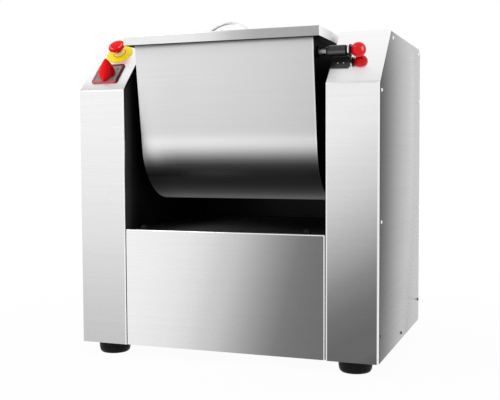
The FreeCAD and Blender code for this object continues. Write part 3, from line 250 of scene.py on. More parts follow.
steelLook = {
    "streak": {"X": 0.08, "Y": 0.05},   # contrast of the long streaks
    "grain": {"X": 0.06, "Y": 0.03},    # contrast of the fine grain
    "streakNoise": (4.0, 0.6),          # detail and roughness of each noise
    "grainNoise": (2.0, 0.5),
    "roughness": 0.27,
    "roughStreak": 0.12,                # how far each pattern changes the roughness
    "roughGrain": 0.06,
    "bump": {"X": 0.06, "Y": 0.0},
    "bumpDepth": 0.2 * mm,
}
grainAlong = {"X": (2.0, 130.0, 130.0), "Y": (90.0, 0.6, 90.0)}
fineAlong = {"X": (6.0, 800.0, 800.0), "Y": (300.0, 1.2, 300.0)}


def brushedSteel(name, grain, tones, roughness=None, cross=None, lean=None, edges=None, glow=()):
    # stainless with its grain along one axis; tones is an axis and its grey stops, which paint reflected
    # light and shade into its colour, cross is a second such pair of painted light and shade, edges are
    # painted fold highlights, and glow is painted light given off by the surface, where light is thrown back
    # between close sheets or onto the drum's underside: pairs of grey stops and shares
    look = steelLook
    finish = Finish(name, Metallic=1.0)
    rough = roughness or look["roughness"]
    if isinstance(rough, tuple):
        rough = axisRamp(finish, *rough)
    streak = finish.noise(grainAlong[grain], *look["streakNoise"])
    fine = finish.noise(fineAlong[grain], *look["grainNoise"])
    tone = toneRamp(finish, *tones, lean)
    if cross:
        tone = finish.mix(1.0, tone, toneRamp(finish, *cross), "MULTIPLY")
    if edges:
        tone = paintedFoldHighlights(finish, tone, *edges)
    shade = 1.0 + (streak - 0.5) * look["streak"][grain] + (fine - 0.5) * look["grain"][grain]
    finish.feed("Base Color", finish.scaled(tone, shade))
    finish.feed("Roughness", rough + (streak - 0.5) * look["roughStreak"] + (fine - 0.5) * look["roughGrain"])
    if look["bump"][grain]:
        finish.bump(fine, look["bump"][grain], look["bumpDepth"])
    light = None
    for levels, shares in glow:
        patch = finish.mix(1.0, toneRamp(finish, *levels), axisRamp(finish, *shares), "MULTIPLY")
        light = patch if light is None else finish.mix(1.0, light, patch, "ADD")
    if glow:
        finish.shader.inputs["Emission Strength"].default_value = 1.0
        finish.feed("Emission Color", light)
    return finish.material


plainLook = {
    "cloud": (14.0, 14.0, 14.0),    # scale of the broad mottle
    "gritDetail": 2.0,
    "roughCloud": 0.12,             # how far each pattern changes the roughness
    "roughGrit": 0.08,
    "bumpDepth": 0.4 * mm,
}


def plainFinish(name, colour, roughness, metallic=0.0, shine=0.5, mottle=0.06, speck=220.0, bump=0.05,
                glow=None, highlight=None):
    # one colour, or a grey or colour that changes along an axis, with a fine mottle in its tone and gloss;
    # glow is painted light, an emission colour and its strength, and highlight is a painted highlight, a pale
    # patch with its middle, reach and colour
    look = plainLook
    finish = Finish(name, Metallic=metallic, Specular_IOR_Level=shine)
    if glow:
        finish.shader.inputs["Emission Color"].default_value = glow[0] + (1.0,)
        finish.shader.inputs["Emission Strength"].default_value = glow[1]
    if isinstance(colour[0], str):
        tinted = isinstance(colour[1][0][1], tuple)
        colour = axisRamp(finish, *colour) if tinted else toneRamp(finish, *colour)
    if highlight:
        away = finish.divided(finish.apart(finish.place(), highlight["middle"]), highlight["reach"])
        patch = finish.ramp(finish.length(away), [(0.0, 1.0), (1.0, 0.0)])
        base = colour if isinstance(colour, Wire) else colour + (1.0,)
        colour = finish.mix(patch, base, highlight["colour"] + (1.0,))
    cloud = finish.noise(look["cloud"])
    grit = finish.noise((speck, speck, speck), look["gritDetail"])
    shade = 1.0 + (cloud - 0.5) * mottle * 2 + (grit - 0.5) * mottle
    finish.feed("Base Color", finish.scaled(colour, shade))
    rough = roughness + (cloud - 0.5) * look["roughCloud"] + (grit - 0.5) * look["roughGrit"]
    finish.feed("Roughness", rough)
    finish.bump(grit, bump, look["bumpDepth"])
    return finish.material


def splitFinish(name, spans, level, dark, roughness=0.3, shine=0.14):
    # bare steel of one grey level within spans, each an axis and two places along it, and black elsewhere
    finish = Finish(name, Specular_IOR_Level=shine)
    bare = None
    for letter, low, high in spans:
        within = finish.node("ShaderNodeMath", {"operation": "COMPARE"},
                             {0: finish.axis(letter), 1: (low + high) / 2, 2: (high - low) / 2})
        bare = within if bare is None else bare.sum("MAXIMUM", bare, within)
    streak = finish.noise(grainAlong["X"], *steelLook["streakNoise"])
    tone = finish.mix(bare, grey(dark), grey(linear(level)))
    finish.feed("Base Color", finish.scaled(tone, 1.0 + (streak - 0.5) * steelLook["streak"]["X"]))
    finish.feed("Metallic", bare)
    finish.feed("Roughness", roughness + (streak - 0.5) * steelLook["roughStreak"])
    return finish.material


def height(above):
    # millimetres above the housing's underside, as a height over the floor in metres
    return baseZ + above * mm


# Painted highlights along the folds: spans along X, their level and the side of the machine
rightFoldHighlights = ([(0.2350, 0.2382), (0.3458, 0.3515)], 0.93, 1)
leftFoldHighlights = ([(0.2350, 0.2375)], 0.97, -1)

# the grey stops of these steels are painted light and shade: the studio's reflections and the shade on each
# sheet, painted into the colour; each glow is painted light
steel = {
    "leftFront": brushedSteel("steelLeftFront", "X", ("Z", [
        (height(0), 0.78), (height(92), 0.81), (height(186), 0.855), (height(280), 0.90),
        (height(373), 0.925), (height(467), 0.945), (height(582), 0.955)]), edges=leftFoldHighlights),
    "rightFront": brushedSteel("steelRightFront", "X", ("Z", [
        (height(-35), 0.355), (height(0), 0.41), (height(50), 0.41), (height(111), 0.45),
        (height(173), 0.535), (height(235), 0.655), (height(297), 0.745), (height(359), 0.82),
        (height(421), 0.865), (height(483), 0.91), (height(545), 0.93), (height(620), 0.93)]),
        cross=("Z", [(height(579), 1.0), (height(580.5), 0.93), (height(620), 0.93)]),
        lean=("X", 0.6, 0.293), edges=rightFoldHighlights),
    "panel": brushedSteel("steelPanel", "X", ("X", [
        (-0.25, 0.95), (-0.18, 0.935), (-0.108, 0.905), (-0.061, 0.865), (-0.025, 0.815),
        (0.011, 0.775), (0.046, 0.71), (0.082, 0.635), (0.118, 0.56), (0.154, 0.49), (0.189, 0.46),
        (0.25, 0.44)]), lean=("Z", 0.26, 0.165)),
    "leftSlope": brushedSteel("steelLeftSlope", "X", ("Z", [
        (height(575), 0.77), (height(590), 0.82), (height(604), 0.90), (height(620), 0.94),
        (height(702), 0.975)]), 0.45),
    "rightSlope": brushedSteel("steelRightSlope", "X", ("Z", [
        (height(583), 0.84), (height(586), 0.90), (height(600), 0.92), (height(614), 0.94),
        (height(640), 0.955), (height(702), 0.975)]),
        ("Z", [(height(575), 0.50), (height(611), 0.50), (height(618), 0.10), (height(702), 0.10)]),
        glow=[(("Z", [(height(570), 0.44), (height(612), 0.44), (height(620), 0.0), (height(702), 0.0)]),
               ("X", [(0.23, 1.0), (0.25, 0.85), (0.275, 0.35), (0.30, 0.0), (0.35, 0.0)]))]),
    "side": brushedSteel("steelSide", "Y", ("Y", [
        (frontY, 0.27), (frontY + 0.019, 0.29), (frontY + 0.07, 0.385), (frontY + 0.122, 0.475),
        (frontY + 0.187, 0.57), (frontY + 0.252, 0.63), (frontY + 0.33, 0.67), (frontY + 0.408, 0.74),
        (frontY + 0.51, 0.77)]),
        cross=("Z", [(0.03, 0.96), (0.20, 0.97), (0.40, 0.99), (0.55, 1.0), (0.76, 1.0)])),
    "lid": brushedSteel("steelLid", "X", ("X", [
        (-0.228, 0.925), (-0.124, 0.925), (-0.069, 0.92), (-0.017, 0.88), (0.036, 0.755), (0.09, 0.675),
        (0.15, 0.665), (0.228, 0.65)])),
    "lidTop": brushedSteel("steelLidTop", "X", ("X", [(-0.228, 0.90), (0.0, 0.86), (0.228, 0.82)])),
    "lidSide": brushedSteel("steelLidSide", "Y", ("Y", [
        (-0.2625, 0.97), (-0.249, 0.96), (-0.217, 0.90), (-0.176, 0.83), (-0.142, 0.79),
        (-0.115, 0.76), (0.1, 0.74)]),
        glow=[(("Y", [(-0.2625, 0.0), (-0.165, 0.0), (-0.142, 0.46), (-0.115, 0.58), (0.1, 0.58)]),
               ("Z", [(0.70, 1.0), (0.73, 1.0)]))]),
    # painted light and shade on the drum: a highlight line at its right end, a dark reflection band under its
    # turn, a shadow line under the lid, and painted glow on its bottom rim and left end
    "drum": brushedSteel("steelDrum", "X", ("X", [
        (-0.21, 0.925), (-0.05, 0.91), (0.1, 0.88), (0.2045, 0.845), (0.2065, 0.93), (0.21, 0.93)]), 0.34,
        cross=("Z", [
            (0.359, 0.45), (0.362, 0.46), (0.370, 0.35), (0.380, 0.24), (0.390, 0.18), (0.400, 0.145),
            (0.410, 0.13), (0.420, 0.17), (0.430, 0.215), (0.440, 0.285), (0.450, 0.44), (0.460, 0.63),
            (0.470, 0.805), (0.480, 0.94), (0.488, 0.99), (0.496, 1.0), (0.503, 0.965), (0.512, 0.935),
            (0.525, 0.925), (0.6, 0.94), (0.7065, 0.955), (0.7085, 0.36), (0.73, 0.30)]),
        glow=[
            (("Z", [(0.359, 0.36), (0.366, 0.34), (0.374, 0.26), (0.382, 0.20), (0.389, 0.165),
                    (0.396, 0.137), (0.403, 0.125), (0.410, 0.115), (0.416, 0.08), (0.424, 0.02),
                    (0.432, 0.0), (0.73, 0.0)]),
             ("X", [(-0.21, 0.7), (-0.15, 1.0), (0.21, 1.0)])),
            (("Z", [(0.359, 0.0), (0.415, 0.0), (0.433, 0.17), (0.442, 0.28), (0.451, 0.39), (0.460, 0.46),
                    (0.470, 0.44), (0.48, 0.38), (0.49, 0.31), (0.51, 0.24), (0.60, 0.22), (0.73, 0.1)]),
             ("X", [(-0.21, 1.0), (-0.178, 0.85), (-0.15, 0.25), (-0.12, 0.0), (0.21, 0.0)]))]),
    # painted shade: darker towards the bottom
    "plain": brushedSteel("steelPlain", "X", ("Z", [(0.0, 0.70), (0.76, 0.84)])),
    "plainSide": brushedSteel("steelPlainSide", "Y", ("Z", [(0.0, 0.66), (0.76, 0.84)])),
    # painted highlight on folds and cut sheet edges
    "edge": brushedSteel("steelEdgeHighlight", "Y", ("Z", [(0.0, 0.93), (0.76, 0.97)]), 0.2),
    # painted shade on the flanks behind the folds
    "return": brushedSteel("steelReturnShade", "Y", ("Z", [(0.0, 0.42), (0.76, 0.50)])),
    # painted light and shade: the handle darker at its -X end and paler at its +X end
    "bow": brushedSteel("bowSteel", "X", ("X", [
        (-0.06, 0.60), (-0.01, 0.72), (0.02, 0.94), (0.06, 0.985)]), 0.2),
    # painted shade: the lower screws darker
    "screws": brushedSteel("screwSteel", "X", ("Z", [
        (0.03, 0.28), (0.16, 0.34), (0.30, 0.90), (0.73, 0.97)]), 0.2),
}

# Bare metals
polished = plainFinish("polishedSteel", (0.84, 0.84, 0.85), 0.14, metallic=1.0, mottle=0.02)
machined = plainFinish("machinedSteel", (0.42, 0.42, 0.43), 0.34, metallic=1.0, mottle=0.12)
bronze = plainFinish("turnedBronze", (0.60, 0.40, 0.20), 0.32, metallic=1.0, mottle=0.08)

# Blacks
blackPaint = plainFinish("blackPaint", (0.005, 0.005, 0.005), 0.38,
                         shine=0.18, mottle=0.2, speck=320, bump=0.10)
# left plate: lighter towards the front as painted light falling in through the opening, and darker deeper in
# as painted shade
leftBlackShaded = plainFinish("leftPlateBlackShaded", ("Y", [
    (-0.25, 0.28), (-0.235, 0.25), (-0.22, 0.20), (-0.205, 0.13), (-0.18, 0.07), (0.27, 0.05)]),
    0.38, shine=0.16, mottle=0.12, speck=320, bump=0.10)
# deck: paler across its middle, a painted sheen of the light coming through the opening
deckBlackSheen = plainFinish("deckBlackSheen", ("X", [
    (-0.24, 0.10), (-0.16, 0.20), (-0.08, 0.34), (0.02, 0.24), (0.12, 0.12), (0.24, 0.10)]),
    0.34, shine=0.22, mottle=0.12, speck=320, bump=0.06)
blackCast = plainFinish("blackCasting", (0.004, 0.004, 0.004), 0.34,
                        shine=0.2, mottle=0.25, speck=160, bump=0.15)
endBlack = plainFinish("drumEndBlack", (0.003, 0.003, 0.003), 0.5,
                       shine=0.03, mottle=0.2, speck=160, bump=0.10)
moulded = {"mottle": 0.15, "speck": 400, "bump": 0.06}
blackPlastic = plainFinish("blackPlastic", (0.006, 0.006, 0.006), 0.26, shine=0.32, **moulded)
# latch tube: a pale band along it is a painted highlight
tubeBlackHighlight = plainFinish("tubeBlackHighlight", ("Z", [
    (0.60, 0.15), (0.672, 0.13), (0.674, 0.20), (0.6762, 0.37), (0.6785, 0.37), (0.6805, 0.16),
    (0.70, 0.15)]), 0.28, shine=0.42, **moulded)
rubber = plainFinish("blackRubber", (0.004, 0.004, 0.004), 0.5,
                     shine=0.12, mottle=0.2, speck=500, bump=0.2)
motorPaint = plainFinish("motorPaint", (0.07, 0.11, 0.15), 0.38,
                         shine=0.3, mottle=0.12, speck=180, bump=0.15)

# Colours of the controls
ballLow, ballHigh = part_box("latch_ball")
# a painted highlight on the latch ball, right of its middle
ballHighlight = {
    "middle": (ballLow + ballHigh) / 2 + Vector((0.0109, -0.0114, 0.001)),
    "reach": (0.0042, 0.0042, 0.0080),
    "colour": (1.0, 0.42, 0.40),
}
# a painted highlight low on the grip's left flank
gripHighlight = {
    "middle": switchAt + slopeTurn.to_3x3() @ Vector((-0.0215, -0.002, 0.009)),
    "reach": (0.006, 0.006, 0.006),
    "colour": (1.0, 0.36, 0.36),
}
# the grip's colour across it: painted light on its left flank and painted shade on its right
gripShading = [(-30, (0.92, 0.006, 0.008)), (1, (0.92, 0.003, 0.004)), (7, (0.60, 0.002, 0.004)),
             (15, (0.38, 0.0, 0.004)), (30, (0.26, 0.0, 0.004))]   # millimetres across from its axis
satin = {"speck": 420, "bump": 0.04}
# the glow on these reds is painted light, an emission that no lamp gives
redGloss = plainFinish("redGloss", (0.84, 0.003, 0.010), 0.16, shine=0.26, mottle=0.05, speck=260,
                       bump=0.02, glow=((1.0, 0.0, 0.01), 0.05), highlight=ballHighlight)
redSatin = plainFinish("redSatin", (0.88, 0.003, 0.005), 0.30, shine=0.10,
                       glow=((1.0, 0.0, 0.005), 0.10), **satin)
redKnob = plainFinish("redKnob", ("X", [(switchAt.x + across * mm, tone) for across, tone in gripShading]),
                      0.30, shine=0.10, glow=((1.0, 0.0, 0.005), 0.06), highlight=gripHighlight, **satin)
# the switch frame: its base red, then a painted-shade copy and a painted-light copy
redFrame = plainFinish("redFrame", (0.66, 0.055, 0.08), 0.22, shine=0.7, **satin)
redFrameLit = plainFinish("redFrameLit", (0.42, 0.18, 0.21), 0.26, **satin)
redFrameShade = plainFinish("redFrameShade", (0.09, 0.001, 0.006), 0.30, shine=0.2, **satin)
# the glow on the yellow ring and the pale collar is painted light
yellow = plainFinish("yellowGloss", (1.0, 0.87, 0.010), 0.28, shine=0.3, speck=300, bump=0.03,
                     glow=((1.0, 0.88, 0.02), 0.16))
paleCollar = plainFinish("paleCollar", (1.0, 0.93, 0.42), 0.25, shine=0.3, mottle=0.05, speck=300,
                         bump=0.03, glow=((1.0, 0.9, 0.4), 0.10))
greyFace = plainFinish("greyFace", (0.30, 0.29, 0.28), 0.42,
                       metallic=0.2, shine=0.4, mottle=0.08, speck=500)
inkDark = plainFinish("darkInk", (0.02, 0.02, 0.02), 0.4, shine=0.2, mottle=0.1, speck=300, bump=0.02)
inkPale = plainFinish("paleInk", (0.85, 0.30, 0.30), 0.4, shine=0.2, mottle=0.04, speck=300, bump=0.02)

# Black sheets and pins that show bare steel in places
rearSheet = splitFinish("rearSheet", [("Y", 0.2320, 0.2400), ("Z", 0.6877, 0.7000)], 0.80, 0.009)
rightPlate = splitFinish("rightPlate", [("Z", 0.7000, 0.7600)], 0.88, 0.006)
pinSteel = splitFinish("latchPinSteel", [("X", 0.10, 0.2686), ("X", 0.2724, 0.40)], 0.95, 0.006, 0.18)
print("materials ready")


# Mesh tools

def finishPiece(name, bm, body, finishes, stands=(), sharp=32):
    # smooths by angle, makes the object, ties it to its body, and hides the CAD nodes that it stands for
    for face in bm.faces:
        face.smooth = True
    limit = math.radians(sharp)
    for edge in bm.edges:
        edge.smooth = len(edge.link_faces) == 2 and edge.calc_face_angle(0) < limit
    mesh = bpy.data.meshes.new(name)
    bm.to_mesh(mesh)
    bm.free()
    for material in finishes:
        mesh.materials.append(material)
    piece = bpy.data.objects.new(name, mesh)
    scene.collection.objects.link(piece)
    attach(piece, body)
    if stands:
        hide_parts(*stands)
    return piece


def roundEdges(bm, edges, width, steps=3):
    if edges:
        bmesh.ops.bevel(bm, geom=edges, offset=width, offset_type="OFFSET", segments=steps, profile=0.5,
                        affect="EDGES", clamp_overlap=True, material=-1)


def sharpEdges(bm, least=30):
    limit = math.radians(least)
    return [edge for edge in bm.edges if len(edge.link_faces) == 2 and edge.calc_face_angle(0) > limit]


def closeUp(bm):
    bmesh.ops.remove_doubles(bm, verts=bm.verts, dist=1e-6)
    bmesh.ops.recalc_face_normals(bm, faces=bm.faces)


def chain(bm, points):
    # a row of vertices joined by edges
    verts = [bm.verts.new(point) for point in points]
    return verts, [bm.edges.new(pair) for pair in zip(verts, verts[1:])]


def slab(bm, outline, push):
    # a flat outline given thickness along one vector
    face = bm.faces.new([bm.verts.new(point) for point in outline])
    grown = bmesh.ops.extrude_face_region(bm, geom=[face])["geom"]
    verts = [item for item in grown if isinstance(item, bmesh.types.BMVert)]
    bmesh.ops.translate(bm, verts=verts, vec=push)
    bmesh.ops.recalc_face_normals(bm, faces=bm.faces)


def block(bm, low, high):
    made = bmesh.ops.create_cube(bm, size=1.0)["verts"]
    middle = (Vector(low) + Vector(high)) / 2
    size = Vector(high) - Vector(low)
    bmesh.ops.scale(bm, verts=made, vec=size)
    bmesh.ops.translate(bm, verts=made, vec=middle)
    return made


def lathe(profile, steps=48, rounding=0.0, roundSteps=2):
    # turns a profile of (radius, height) about Z; corners are rounded if asked
    bm = bmesh.new()
    verts, edges = chain(bm, [(radius, 0, along) for radius, along in profile])
    bmesh.ops.spin(bm, geom=verts + edges, cent=(0, 0, 0), axis=(0, 0, 1), dvec=(0, 0, 0),
                   angle=2 * math.pi, steps=steps, use_merge=True, use_duplicate=False)
    closeUp(bm)
    if rounding:
        rings = [edge for edge in sharpEdges(bm) if abs(edge.verts[0].co.z - edge.verts[1].co.z) < 1e-6]
        roundEdges(bm, rings, rounding, roundSteps)
    return bm


def stand(bm, place, turn=None):
    # moves a mesh made about the origin to its place, turned first
    matrix = Matrix.Translation(place) @ (turn or Matrix.Identity(4))
    bmesh.ops.transform(bm, matrix=matrix, verts=bm.verts)
    return bm


def joinInto(bm, other):
    # adds one mesh under construction to another
    mesh = bpy.data.meshes.new("joining")
    other.to_mesh(mesh)
    other.free()
    bm.from_mesh(mesh)
    bpy.data.meshes.remove(mesh)


def inMm(profile, lift=0.0):
    # a profile given in millimetres, in metres and raised
    return [(radius * mm, along * mm + lift) for radius, along in profile]


alongX = Matrix.Rotation(math.radians(90), 4, "Y")


# Column housings
columnLook = {
    "frontHeight": 582 * mm,
    "slopeRun": 120 * mm,
    "rearBevel": 15 * mm,
    "bendRadius": 2.0 * mm,
    "returnDepth": 5 * mm,
    "sheet": 1.2 * mm,
    "proud": 0.4 * mm,      # inwards past the CAD skin, and twice that short of the cover
    "coverInset": 3.4 * mm,
    "coverSheet": 1.6 * mm,
    "coverEdge": 0.6 * mm,
}


def columnOutline(inset=0.0):
    # the column from the side: front foot, front top, slope top, top back, bevel, back foot
    look = columnLook
    slopeTop = topZ - look["frontHeight"] - baseZ
    corner = inset * math.tan(math.radians(22.5))
    return [
        (frontY + inset, baseZ + inset * 0.5),
        (frontY + inset, baseZ + look["frontHeight"] - corner),
        (frontY + slopeTop + corner, topZ - inset),
        (backY - look["rearBevel"] - corner, topZ - inset),
        (backY - inset, topZ - look["rearBevel"] - corner),
        (backY - inset, baseZ + inset * 0.5),
    ]


def columnSkin(side):
    look = columnLook
    sign = 1 if side == "right" else -1
    near = innerX - look["proud"]
    far = outerX - look["proud"] * 2
    bm = bmesh.new()
    edges = chain(bm, [(sign * near, y, z) for y, z in columnOutline()])[1]
    grown = bmesh.ops.extrude_edge_only(bm, edges=edges)["geom"]
    moved = [item for item in grown if isinstance(item, bmesh.types.BMVert)]
    bmesh.ops.translate(bm, verts=moved, vec=(sign * (far - near), 0, 0))
    # short returns along both sides, folded in towards the column's middle
    for place in (near, far):
        rim = [edge for edge in bm.edges if edge.is_boundary
               and all(abs(vert.co.x - sign * place) < 1e-6 for vert in edge.verts)
               and edge.calc_length() > 1e-6]
        made = bmesh.ops.extrude_edge_only(bm, edges=rim)["geom"]
        inner = columnOutline(look["returnDepth"])
        outer = columnOutline()
        for vert in [item for item in made if isinstance(item, bmesh.types.BMVert)]:
            index = min(range(len(outer)), key=lambda n: (vert.co.y - outer[n][0]) ** 2
                        + (vert.co.z - outer[n][1]) ** 2)
            y, z = inner[index]
            if index in (0, len(outer) - 1):
                z = outer[index][1]
            vert.co = (vert.co.x, y, z)
    bmesh.ops.recalc_face_normals(bm, faces=bm.faces)
    front = min(bm.faces, key=lambda face: face.calc_center_median().y)
    if front.normal.y > 0:
        bmesh.ops.reverse_faces(bm, faces=bm.faces)
    # front 0, slope 1, top and back 2, returns 3, which take the painted edge highlight
    for face in bm.faces:
        normal = face.normal
        if normal.y < -0.3 and normal.z > 0.3:
            face.material_index = 1
        elif abs(normal.x) > 0.7:
            face.material_index = 3
        elif normal.y > 0.3 or normal.z > 0.9:
            face.material_index = 2
    sides = [edge for edge in bm.edges if len(edge.link_faces) == 2
             and abs(abs(edge.link_faces[0].normal.x) - abs(edge.link_faces[1].normal.x)) > 0.7]
    bends = [edge for edge in bm.edges if len(edge.link_faces) == 2 and edge not in sides
             and edge.calc_face_angle(0) > 0.3]
    roundEdges(bm, sides + bends, look["bendRadius"], 4)
    bmesh.ops.solidify(bm, geom=bm.faces, thickness=look["sheet"])
    finishes = [steel[side + "Front"], steel[side + "Slope"], steel["plain"], steel["edge"]]
    return finishPiece(side + "ColumnSkin", bm, "frame", finishes, [side + "_column_skin"], 40)


def sideCover(side):
    look = columnLook
    sign = 1 if side == "right" else -1
    outline = [(sign * (outerX - look["coverSheet"]), y, z) for y, z in columnOutline(look["coverInset"])]
    bm = bmesh.new()
    slab(bm, outline, (sign * look["coverSheet"], 0, 0))
    outer = [edge for edge in sharpEdges(bm, 20)
             if all(abs(abs(vert.co.x) - outerX) < 1e-6 for vert in edge.verts)]
    roundEdges(bm, outer, look["coverEdge"], 2)
    finish = steel["side"] if side == "right" else steel["plainSide"]
    return finishPiece(side + "SideCover", bm, "frame", [finish], [side + "_side_cover"])


for side in ("left", "right"):
    columnSkin(side)
    sideCover(side)
print("columns ready")


# Front panel
panelLook = {"gap": 2.0 * mm, "fold": 24 * mm, "radius": 2.4 * mm, "sheet": 1.4 * mm}


def frontPanel(look):
    low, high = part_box("front_panel")
    half = high.x - look["gap"]
    bm = bmesh.new()
    block(bm, (-half, low.y, low.z), (half, low.y + look["fold"], high.z))
    bmesh.ops.delete(bm, geom=[face for face in bm.faces if face.normal.y > 0.9], context="FACES")
    front = min(bm.faces, key=lambda face: face.calc_center_median().y)
    for face in bm.faces:
        face.material_index = 0 if face is front else 1
    folds = [edge for edge in bm.edges if len(edge.link_faces) == 2]
    roundEdges(bm, folds, look["radius"], 4)
    # painted highlight on the folds, and painted shade on the flanks behind them
    for face in bm.faces:
        middle = face.calc_center_median()
        if abs(face.normal.x) > 0.99:
            face.material_index = 2
        elif middle.z > high.z - look["radius"] or abs(middle.x) > half - look["radius"]:
            face.material_index = 1
    bmesh.ops.recalc_face_normals(bm, faces=bm.faces)
    bmesh.ops.solidify(bm, geom=bm.faces, thickness=look["sheet"])
    finishes = [steel["panel"], steel["edge"], steel["return"]]
    finishPiece("frontPanel", bm, "frame", finishes, ["front_panel"], 40)


frontPanel(panelLook)
print("front panel ready")


# Drum
drumLook = {
    "radius": 136 * mm,
    "flare": 7.8,           # walls from upright, degrees
    "rim": 231 * mm,        # over the axis
    "half": 208 * mm,
    "sheet": 2 * mm,
    "edge": 0.9 * mm,
    "arcSteps": 40,
}


def drumPath(bm, radius, rim, x):
    # the drum from the side: down the front wall, round the bottom and up the back wall
    flare = math.radians(drumLook["flare"])
    lip = radius / math.cos(flare) + rim * math.tan(flare)
    start = bm.verts.new((x, drumY - radius * math.cos(flare), drumZ - radius * math.sin(flare)))
    spun = bmesh.ops.spin(bm, geom=[start], cent=(x, drumY, drumZ), axis=(1, 0, 0), dvec=(0, 0, 0),
                          angle=math.pi - 2 * flare, steps=drumLook["arcSteps"], use_duplicate=False)
    end = [item for item in spun["geom_last"] if isinstance(item, bmesh.types.BMVert)][0]
    front = bm.verts.new((x, drumY - lip, drumZ + rim))
    back = bm.verts.new((x, drumY + lip, drumZ + rim))
    bm.edges.new((front, start))
    bm.edges.new((end, back))
    return front, back


def drumShell(look):
    bm = bmesh.new()
    drumPath(bm, look["radius"], look["rim"], -look["half"])
    grown = bmesh.ops.extrude_edge_only(bm, edges=bm.edges[:])["geom"]
    moved = [item for item in grown if isinstance(item, bmesh.types.BMVert)]
    bmesh.ops.translate(bm, verts=moved, vec=(2 * look["half"], 0, 0))
    bmesh.ops.recalc_face_normals(bm, faces=bm.faces)
    lowest = min(bm.faces, key=lambda face: face.calc_center_median().z)
    if lowest.normal.z > 0:
        bmesh.ops.reverse_faces(bm, faces=bm.faces)
    bmesh.ops.solidify(bm, geom=bm.faces, thickness=look["sheet"])
    bm.normal_update()
    # the sheet's cut ends take the painted edge highlight
    for face in bm.faces:
        if abs(face.normal.x) > 0.9:
            face.material_index = 1
    roundEdges(bm, sharpEdges(bm, 60), look["edge"], 2)
    finishPiece("drumShell", bm, "drum", [steel["drum"], steel["edge"]], ["drum_shell"], 40)


drumShell(drumLook)
print("drum ready")


# Lid
lidLook = {"radius": 2.6 * mm, "sheet": 1.4 * mm}


def lidPanel(look):
    low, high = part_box("lid_panel")
    bm = bmesh.new()
    block(bm, low, high)
    gone = [face for face in bm.faces if face.normal.y > 0.9 or face.normal.z < -0.9]
    bmesh.ops.delete(bm, geom=gone, context="FACES")
    for face in bm.faces:
        if abs(face.normal.x) > 0.9:
            face.material_index = 1
        elif face.normal.z > 0.9:
            face.material_index = 2
    folds = [edge for edge in bm.edges if len(edge.link_faces) == 2]
    roundEdges(bm, folds, look["radius"], 4)
    bmesh.ops.solidify(bm, geom=bm.faces, thickness=look["sheet"])
    bm.normal_update()
    finishes = [steel["lid"], steel["lidSide"], steel["lidTop"]]
    finishPiece("lidPanel", bm, "lid", finishes, ["lid_panel"], 40)


handleLook = {
    "rod": 2.6 * mm,
    "half": 52 * mm,
    "rise": 22 * mm,
    "pad": 4 * mm,
    "foot": 8 * mm,
    "neck": 1.3,            # height of a foot's cone, in pads
    "soften": 0.5 * mm,
}


def lidHandle(look):
    low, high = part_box("lid_handle")
    middleY = (low.y + high.y) / 2
    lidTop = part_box("lid_panel")[1].z
    radius = (look["half"] ** 2 + look["rise"] ** 2) / (2 * look["rise"])
    sweep = 2 * math.asin(look["half"] / radius)
    centre = Vector((0, middleY, lidTop + look["pad"] + look["rise"] - radius))
    bm = bmesh.new()
    ring = bmesh.ops.create_circle(bm, cap_ends=False, radius=look["rod"], segments=20)["verts"]
    bmesh.ops.translate(bm, verts=ring, vec=(radius, 0, 0))
    begin = Matrix.Rotation(sweep / 2, 3, "Y")
    bmesh.ops.rotate(bm, verts=ring, cent=(0, 0, 0), matrix=Matrix.Rotation(-math.pi / 2, 3, "Y") @ begin)
    bmesh.ops.translate(bm, verts=ring, vec=centre)
    bmesh.ops.spin(bm, geom=ring + bm.edges[:], cent=centre, axis=(0, 1, 0), dvec=(0, 0, 0),
                   angle=-sweep, steps=40, use_duplicate=False)
    closeUp(bm)
    neck = look["pad"] * look["neck"]
    for sign in (-1, 1):
        foot = lathe([(0, 0), (look["foot"], 0), (look["foot"] * 0.95, look["pad"] * 0.6),
                      (look["rod"], neck), (0, neck)], 32, look["soften"])
        joinInto(bm, stand(foot, (sign * look["half"], middleY, lidTop)))
    finishPiece("lidHandle", bm, "lid", [steel["bow"]], ["lid_handle"])


lidPanel(lidLook)
lidHandle(handleLook)
print("lid ready")


# Latch
latchLook = {
    "tube": 11.5 * mm,
    "chamfer": 1 * mm,      # at the tube's root
    "lip": 0.8 * mm,        # length of the taper at its mouth, and half of it across
    "socket": 10.8 * mm,
    "socketDepth": 8 * mm,
    "bore": 6.2 * mm,
    "over": 17.2 * mm,      # axis off the slope
    "saddleHalf": 9.2 * mm,
    "saddle": (8.5 * mm, 39 * mm),
    "saddleTop": -9 * mm,
    "hug": 11.2 * mm,       # hollow under the tube, clear of the pin's sleeve
    "hugSteps": 16,
    "foot": (8 * mm, 47.5 * mm),
    "footLow": -38 * mm,    # its lower end, down the slope
    "footThick": 3 * mm,
    "soften": 0.8 * mm,
    "footScrews": (22.5 * mm, 35 * mm),
    "screwsAt": -24.5 * mm,
    "screwHead": ((0, 0), (1.7, 0), (1.7, 0.7), (0.9, 1.1), (0, 1.1)),
}


def saddleBlock(look):
    # the block under the tube, with a round hollow that the tube lies in
    half = look["saddleHalf"]
    low = -look["over"]
    start, end = look["saddle"]
    top = look["saddleTop"]
    hug = look["hug"]
    reach = math.acos(-top / hug)
    turns = [reach * (1 - 2 * step / look["hugSteps"]) for step in range(look["hugSteps"] + 1)]
    hollow = [(start, hug * math.sin(turn), -hug * math.cos(turn)) for turn in turns]
    corners = [(start, -half, top), (start, -half, low), (start, half, low), (start, half, top)]
    bm = bmesh.new()
    slab(bm, corners + hollow, (end - start, 0, 0))
    return bm


